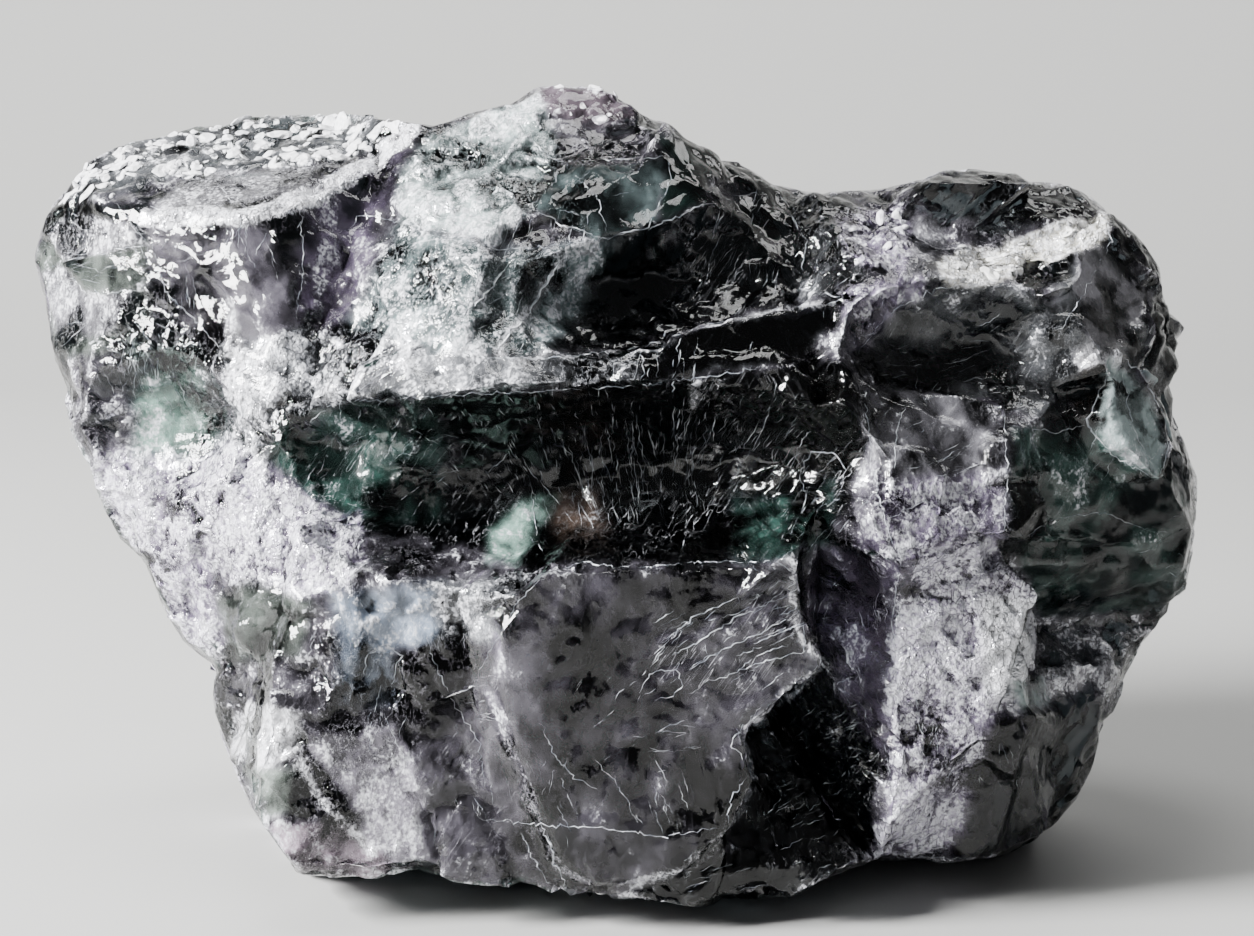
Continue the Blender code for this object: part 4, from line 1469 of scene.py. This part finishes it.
@dataclass(frozen=True)
class VeinFinish:
    """Bright glassy white, dimmer in places."""

    roughness: float = 0.25
    speck_roughness: float = 0.3
    speck_scale: float = 0.9
    speck_edge: Span = (0.38, 0.68)
    glow_edge: Span = (0.30, 0.50)
    bump_strength: float = 0.2
    bump_mm: float = 0.05
    dim: Triple = (0.20, 0.22, 0.26)
    bright: Triple = (0.90, 0.93, 0.97)

    def build(self) -> bpy.types.Material:
        """Makes the material.

        Returns:
            The material.
        """
        g = Finish("vein")
        speck = g.noise(g.place, self.speck_scale, 3.0)[0]
        glow = g.attribute("glow") * speck.step(*self.glow_edge)
        share = speck.step(*self.speck_edge).larger(glow)
        return g.done(Surface=g.principled({
            "Base Color": g.blend(share, (*self.dim, 1.0), (*self.bright, 1.0)), "IOR": FLUORITE_IOR,
            "Roughness": self.roughness + self.speck_roughness * speck,
            "Normal": g.bump(self.bump_strength, self.bump_mm, speck)}))


@dataclass(frozen=True)
class FloorFinish:
    """Pale matt paint, a little uneven."""

    roughness: float = 0.6
    speck_scale: float = 9.0
    speck_share: float = 0.25
    pale: Triple = (0.42, 0.42, 0.41)
    dull: Triple = (0.36, 0.36, 0.355)

    def build(self) -> bpy.types.Material:
        """Makes the material.

        Returns:
            The material.
        """
        g = Finish("pale_floor", unit=1.0)
        speck = g.noise(g.place, self.speck_scale, 5.0)[0]
        colour = g.blend(speck * self.speck_share, (*self.pale, 1.0), (*self.dull, 1.0))
        return g.done(Surface=g.principled({"Base Color": colour, "Roughness": self.roughness}))


@dataclass
class Crust:
    """White grains grown thickly on parts of the stone, placed by a node tree.

    density is in grains a square metre, the sizes, sunk and wobble are in millimetres, and the scales
    of noise are how many a metre. A grain's stretch along its own axes is drawn between narrow and
    broad.
    """

    stone: bpy.types.Object
    density: float = 0.95e6
    smallest: float = 0.30
    largest: float = 1.15
    sunk: float = 0.10
    seed: int = 7
    bareness: Span = (0.42, 0.56)
    bare_scale: float = 260.0
    small_share: float = 2.2
    narrow: Triple = (0.5, 0.5, 0.16)
    broad: Triple = (1.4, 1.4, 0.34)
    size_seed: int = 3
    stretch_seed: int = 5
    wobble: float = 1.1
    wobble_scale: float = 900.0

    def build(self) -> bpy.types.Object:
        """Grows the grains.

        Returns:
            The piece, a plain mesh.
        """
        grains = set_up("grains", self.stone.data)
        tree = self.node_tree(GrainFinish().build())
        modifier = grains.modifiers.new("grains", "NODES")
        modifier.node_group = tree
        values = {"Density": self.density, "Smallest": self.smallest * MM, "Largest": self.largest * MM,
                  "Sunk": -self.sunk * MM, "Seed": self.seed}
        for item in tree.interface.items_tree:
            if item.item_type == "SOCKET" and item.in_out == "INPUT" and item.name in values:
                modifier[item.identifier] = values[item.name]
        ready = grains.evaluated_get(bpy.context.evaluated_depsgraph_get())
        mesh = bpy.data.meshes.new_from_object(ready)
        mesh.name = "fluorite_crust"
        bpy.data.objects.remove(grains)
        crust = set_up("fluorite_crust", mesh)
        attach(crust, "root")
        LOG.info("crust: %d triangles", sum(len(face.vertices) - 2 for face in mesh.polygons))
        return crust

    def node_tree(self, material: bpy.types.Material) -> bpy.types.NodeTree:
        """Makes the tree: points where the crust attribute is, a lump on each, made real.

        Args:
            material: The grains' material.

        Returns:
            The tree, with named inputs.
        """
        tree = bpy.data.node_groups.new("crust_grains", "GeometryNodeTree")
        tree.interface.new_socket("Geometry", in_out="INPUT", socket_type="NodeSocketGeometry")
        tree.interface.new_socket("Geometry", in_out="OUTPUT", socket_type="NodeSocketGeometry")
        for name in ("Density", "Smallest", "Largest", "Sunk"):
            tree.interface.new_socket(name, in_out="INPUT", socket_type="NodeSocketFloat")
        tree.interface.new_socket("Seed", in_out="INPUT", socket_type="NodeSocketInt")

        g = Graph(tree)
        given = g.node("NodeGroupInput")
        place = g.node("GeometryNodeInputPosition")[0]
        share = g.node("GeometryNodeInputNamedAttribute", {"data_type": "FLOAT"}, {"Name": "crust"})[0]
        low, high = self.bareness
        patch = g.node("ShaderNodeMapRange", {}, {
            "Value": g.noise(place, self.bare_scale, 2.0, 0.5)[0], "From Min": low, "From Max": high})[0]
        points = g.node("GeometryNodeDistributePointsOnFaces", {}, {
            "Mesh": given["Geometry"], "Density": share * patch * given["Density"], "Seed": given["Seed"]})
        cast = g.node("FunctionNodeRandomValue", {"data_type": "FLOAT"}, {"Seed": self.size_seed})[1]
        size = g.node("ShaderNodeMapRange", {}, {
            "Value": cast ** self.small_share, "To Min": given["Smallest"], "To Max": given["Largest"]})[0]
        stretch = g.node("FunctionNodeRandomValue", {"data_type": "FLOAT_VECTOR"}, {
            0: self.narrow, 1: self.broad, "Seed": self.stretch_seed})[0]
        placed = g.node("GeometryNodeInstanceOnPoints", {}, {
            "Points": points["Points"], "Rotation": points["Rotation"], "Scale": g.scaled(stretch, size),
            "Instance": g.node("GeometryNodeMeshIcoSphere", {}, {"Radius": 1.0, "Subdivisions": 2})[0]})[0]
        down = g.node("ShaderNodeCombineXYZ", {}, {"Z": given["Sunk"]})[0]
        placed = g.node("GeometryNodeTranslateInstances", {}, {"Instances": placed, "Translation": down})[0]
        real = g.node("GeometryNodeRealizeInstances", {}, {"Geometry": placed})[0]
        swirl = g.noise(place, self.wobble_scale, 2.0, 0.5)[1]
        wobble = g.vectors("SUBTRACT", swirl, (0.5, 0.5, 0.5))
        rough = g.node("GeometryNodeSetPosition", {}, {
            "Geometry": real, "Offset": g.scaled(wobble, self.wobble * MM)})[0]
        dressed = g.node("GeometryNodeSetMaterial", {}, {"Geometry": rough, "Material": material})[0]
        g.node("NodeGroupOutput", {}, {"Geometry": dressed})
        return tree


@dataclass
class Veins:
    """Thin raised ridges along the crack lines and hairlines of the front.

    step, jitter, hair_jitter and bundle_reach are in pixels, jump in millimetres. A line starts anew
    where the surface jumps by more. curl is how far a hairline turns at each step, in radians.
    """

    points: Array
    faces: Array
    step: float = 4.0
    jump: float = 1.2
    curl: float = 0.045
    jitter: float = 1.1
    hair_jitter: float = 0.7
    hair_break: float = 0.14
    hair_width: Span = (0.4, 1.45)
    hair_spread: float = 0.35
    bundle_reach: float = 15.0
    taper: float = 0.12
    unevenness: Span = (0.5, 1.2)
    height: float = 0.7
    glow_width: Span = (0.06, 0.16)
    seed: int = 31

    def __post_init__(self) -> None:
        """Readies the surface for sight lines, and the lists that the ridges fill."""
        self.tree = BVHTree.FromPolygons(self.points.tolist(), self.faces.tolist())
        self.random = np.random.default_rng(self.seed)
        self.corners: list[Array] = []
        self.glows: list[float] = []
        self.sides: list[tuple[int, ...]] = []

    def build(self) -> bpy.types.Object:
        """Lays every line.

        Returns:
            The piece.
        """
        thin, wide = self.glow_width
        for crack in CRACKS:
            glow = float(np.clip((crack.width - thin) / (wide - thin), 0.0, 1.0))
            self.lay(self.wander(crack.way), crack.width, glow)
        for fan in FANS:
            self.lay_fan(fan)
        mesh = bpy.data.meshes.new("fluorite_veins")
        mesh.from_pydata(inside_box(np.array(self.corners)).tolist(), [], self.sides)
        mesh.attributes.new("glow", "FLOAT", "POINT").data.foreach_set("value", self.glows)
        mesh.update()
        mesh.materials.append(VeinFinish().build())
        veins = set_up("fluorite_veins", mesh)
        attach(veins, "root")
        LOG.info("veins: %d triangles", sum(len(face) - 2 for face in self.sides))
        return veins

    def wander(self, line: tuple[Point, ...]) -> Array:
        """Steps along a drawn line, a little unsteadily.

        Args:
            line: Its corners, in photograph pixels.

        Returns:
            Close places along it.
        """
        corners = np.array(line, dtype=float)
        reach = np.concatenate([[0.0], np.cumsum(np.hypot(*np.diff(corners, axis=0).T))])
        along = np.arange(0.0, reach[-1], self.step)
        way = np.stack([np.interp(along, reach, corners[:, k]) for k in (0, 1)], axis=1)
        return way + self.random.normal(0.0, self.jitter, way.shape)

    def lay_fan(self, fan: Fan) -> None:
        """Lays a family of hairlines, in bundles that lean alike.

        Args:
            fan: The family.
        """
        outline = np.array(fan.outline, dtype=float)
        middles = self.random.uniform(outline.min(axis=0), outline.max(axis=0), (4 * fan.count, 2))
        middles = middles[outline_depth(middles, fan.outline) > 0][:max(2, fan.count // fan.bundle)]
        turns = self.random.normal(0.0, fan.spread, len(middles))
        choice = self.random.integers(len(middles), size=fan.count)
        starts = middles[choice] + self.random.normal(0.0, self.bundle_reach, (fan.count, 2))
        for start, turn in zip(starts, turns[choice]):
            heading = math.radians(fan.angle)
            if fan.centre:
                heading = math.atan2(fan.centre[1] - start[1], start[0] - fan.centre[0])
            heading += math.radians(turn + self.random.normal(0.0, self.hair_spread * fan.spread))
            count = max(3, int(self.random.uniform(*fan.length) / self.step))
            bearing = heading + np.cumsum(self.random.normal(0.0, self.curl, count))
            steps = self.step * np.stack([np.cos(bearing), -np.sin(bearing)], axis=1)
            way = start + np.cumsum(steps, axis=0) + self.random.normal(0.0, self.hair_jitter, steps.shape)
            width = fan.width * self.random.uniform(*self.hair_width) ** 2
            breaks = np.flatnonzero(self.random.random(len(way)) < self.hair_break)
            for part in np.split(way, breaks):
                self.lay(part, width)

    def lay(self, way: Array, width: float, glow: float = 0.0) -> None:
        """Lays one ridge where the eye sees a way of pixels on the stone.

        Args:
            way: Photograph pixels.
            width: Half its width, in millimetres.
            glow: How white it stays where veins are dim, from 0 to 1.
        """
        eye = Vector((HEART[0], 0.0, EYE_DISTANCE))
        middle = np.array(PHOTO_SIZE) / 2
        run: list[tuple[Array, Array]] = []
        for across, down in (way - middle) / PIXELS_PER_SLOPE:
            place, normal, _, _ = self.tree.ray_cast(eye, Vector((across, -down, -1.0)).normalized())
            if place is None or (run and (place - Vector(run[-1][0])).length > self.jump):
                self.ridge(run, width, glow)
                run = []
            if place is not None:
                run.append((np.array(place), np.array(normal)))
        self.ridge(run, width, glow)

    def ridge(self, run: list[tuple[Array, Array]], width: float, glow: float) -> None:
        """Makes a closed three-sided ridge along places of the surface.

        Args:
            run: The places, each with the surface's normal.
            width: Half its width, in millimetres.
            glow: How white it stays where veins are dim.
        """
        if len(run) < 3:
            return
        places = np.array([place for place, _ in run])
        normals = np.array([normal for _, normal in run])
        normals = normals / np.linalg.norm(normals, axis=1)[:, None]
        side = np.cross(np.gradient(places, axis=0), normals)
        side /= np.maximum(np.linalg.norm(side, axis=1), 1e-6)[:, None]
        share = np.sin(np.linspace(self.taper, math.pi - self.taper, len(run)))
        half = (width * share * self.random.uniform(*self.unevenness, len(run)))[:, None]
        first = len(self.corners)
        for ring in np.stack([places + side * half - normals * half, places - side * half - normals * half,
                              places + normals * half * self.height], axis=1):
            self.corners.extend(ring)
            self.glows.extend([glow] * len(ring))
        for low in range(first, len(self.corners) - 3, 3):
            for a, b in ((0, 1), (1, 2), (2, 0)):
                self.sides.append((low + a, low + b, low + 3 + b, low + 3 + a))
        last = len(self.corners) - 3
        self.sides.append((first + 2, first + 1, first))
        self.sides.append((last, last + 1, last + 2))


@dataclass(frozen=True)
class Lamp:
    """A soft square light, with its place, size and target in metres and its power in watts."""

    name: str
    place: Triple
    size: float
    power: float
    target: Triple = (0.0, 0.0, 0.04)

    def hang(self) -> None:
        """Hangs the light."""
        lamp = bpy.data.lights.new(self.name, "AREA")
        lamp.shape = "SQUARE"
        lamp.size = self.size
        lamp.energy = self.power
        light = set_up(self.name, lamp)
        light.location = self.place
        light.rotation_euler = (Vector(self.target) - light.location).to_track_quat("-Z", "Y").to_euler()


LAMPS = (
    Lamp("key", (-0.58, -0.22, 0.38), 0.25, 33.0),
    Lamp("top", (-0.05, 0.05, 0.70), 0.30, 2.5),
    Lamp("wall", (0.30, 0.30, 0.60), 0.40, 3.0, (0.0, 0.8, 0.2)),
)


@dataclass(frozen=True)
class Studio:
    """Pale floor that sweeps up behind the stone, soft lights and the camera. Lengths are metres."""

    floor_half: float = 3.0
    sweep_start: float = 0.35
    sweep_radius: float = 0.35
    sweep_steps: int = 12
    wall_height: float = 1.0
    sky_colour: Triple = (0.8, 0.82, 0.85)
    sky_strength: float = 0.13

    def build(self) -> None:
        """Builds the floor, the lights and the camera."""
        self.build_floor()
        for lamp in LAMPS:
            lamp.hang()
        world = bpy.data.worlds.new("studio")
        world.use_nodes = True
        sky = world.node_tree.nodes["Background"].inputs
        sky["Color"].default_value = (*self.sky_colour, 1.0)
        sky["Strength"].default_value = self.sky_strength
        bpy.context.scene.world = world
        self.place_camera()

    def build_floor(self) -> None:
        """A floor with a curved rise at its back."""
        profile = [(-self.floor_half, 0.0), (self.sweep_start, 0.0)]
        for step in range(1, self.sweep_steps + 1):
            angle = math.radians(90.0 * step / self.sweep_steps)
            profile.append((self.sweep_start + self.sweep_radius * math.sin(angle),
                            self.sweep_radius * (1 - math.cos(angle))))
        profile.append((self.sweep_start + self.sweep_radius, self.wall_height))
        sheet = bmesh.new()
        left, right = ([sheet.verts.new((x, y, z)) for y, z in profile]
                       for x in (-2 * self.floor_half, 2 * self.floor_half))
        for i in range(len(profile) - 1):
            sheet.faces.new((left[i], right[i], right[i + 1], left[i + 1])).smooth = True
        mesh = bpy.data.meshes.new("studio_floor")
        sheet.to_mesh(mesh)
        sheet.free()
        mesh.materials.append(FloorFinish().build())
        floor = set_up("studio_floor", mesh)

    def place_camera(self) -> None:
        """Puts the camera where the photograph was taken."""
        lens = bpy.data.cameras.new("camera")
        lens.lens = LENS_MM
        lens.sensor_width = SENSOR_MM
        camera = set_up("camera", lens)
        back = Vector((0.0, -math.cos(VIEW_DIP), math.sin(VIEW_DIP)))
        turn = (-back).to_track_quat("-Z", "Y").to_matrix().to_4x4()
        camera.matrix_world = Matrix.Translation(AIM + back * EYE_DISTANCE * MM) @ turn
        bpy.context.scene.camera = camera


@dataclass
class Stone:
    """The specimen: its form, its finish and its place in the frame.

    foot is the height in millimetres over which the breaks fade in above the resting face.
    """

    node_name: str = "fluorite_crystal"
    foot: Span = (0.1, 1.2)
    melt_edge: float = 14.0
    melt_rounds: int = 70
    crest_rounds: int = 3
    pitting: float = 0.4
    surface: tuple[Array, Array] | None = None

    def build(self) -> bpy.types.Object:
        """Builds the stone.

        Returns:
            Its object.
        """
        form, painter = StoneForm(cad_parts[self.node_name]), Painter()
        paint = painter.paint(form.points, facing_eye(form.points, form.normals()))
        standing = smooth_step(*self.foot, upright(form.points)[:, 2] / MM)
        tones = BROAD_BREAKS.tone * form.break_up(BROAD_BREAKS, standing, paint.relief)
        tones = tones + MIDDLE_BREAKS.tone * form.break_up(MIDDLE_BREAKS, standing, paint.relief)
        form.soften(SLAB_LEFT, self.melt_edge, self.melt_rounds)
        crest = form.crest(self.crest_rounds)
        for weight, limit in painter.flats:
            form.flatten(weight, limit)
        tones = tones + SMALL_BREAKS.tone * form.break_up(SMALL_BREAKS, standing, paint.relief)
        form.roughen(self.pitting * standing * paint.relief)
        painter.tone(paint, tones)
        # Whitens crests (partly painted highlight) and darkens hollows (painted shade)
        painter.whiten_crests_shade_hollows(paint, crest)
        stone = form.finish(paint)
        self.surface = form.surface()
        stone.data.materials.append(FluoriteFinish().build())
        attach(stone, "root")
        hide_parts(self.node_name)
        LOG.info("stone: %d triangles", len(stone.data.polygons))
        return stone


def main() -> None:
    """Builds the stone and the studio."""
    logging.basicConfig(level=logging.INFO, format="%(name)s: %(message)s")
    stone = Stone()
    Crust(stone.build()).build()
    Veins(*stone.surface).build()
    Studio().build()


if __name__ == "__main__":
    main()
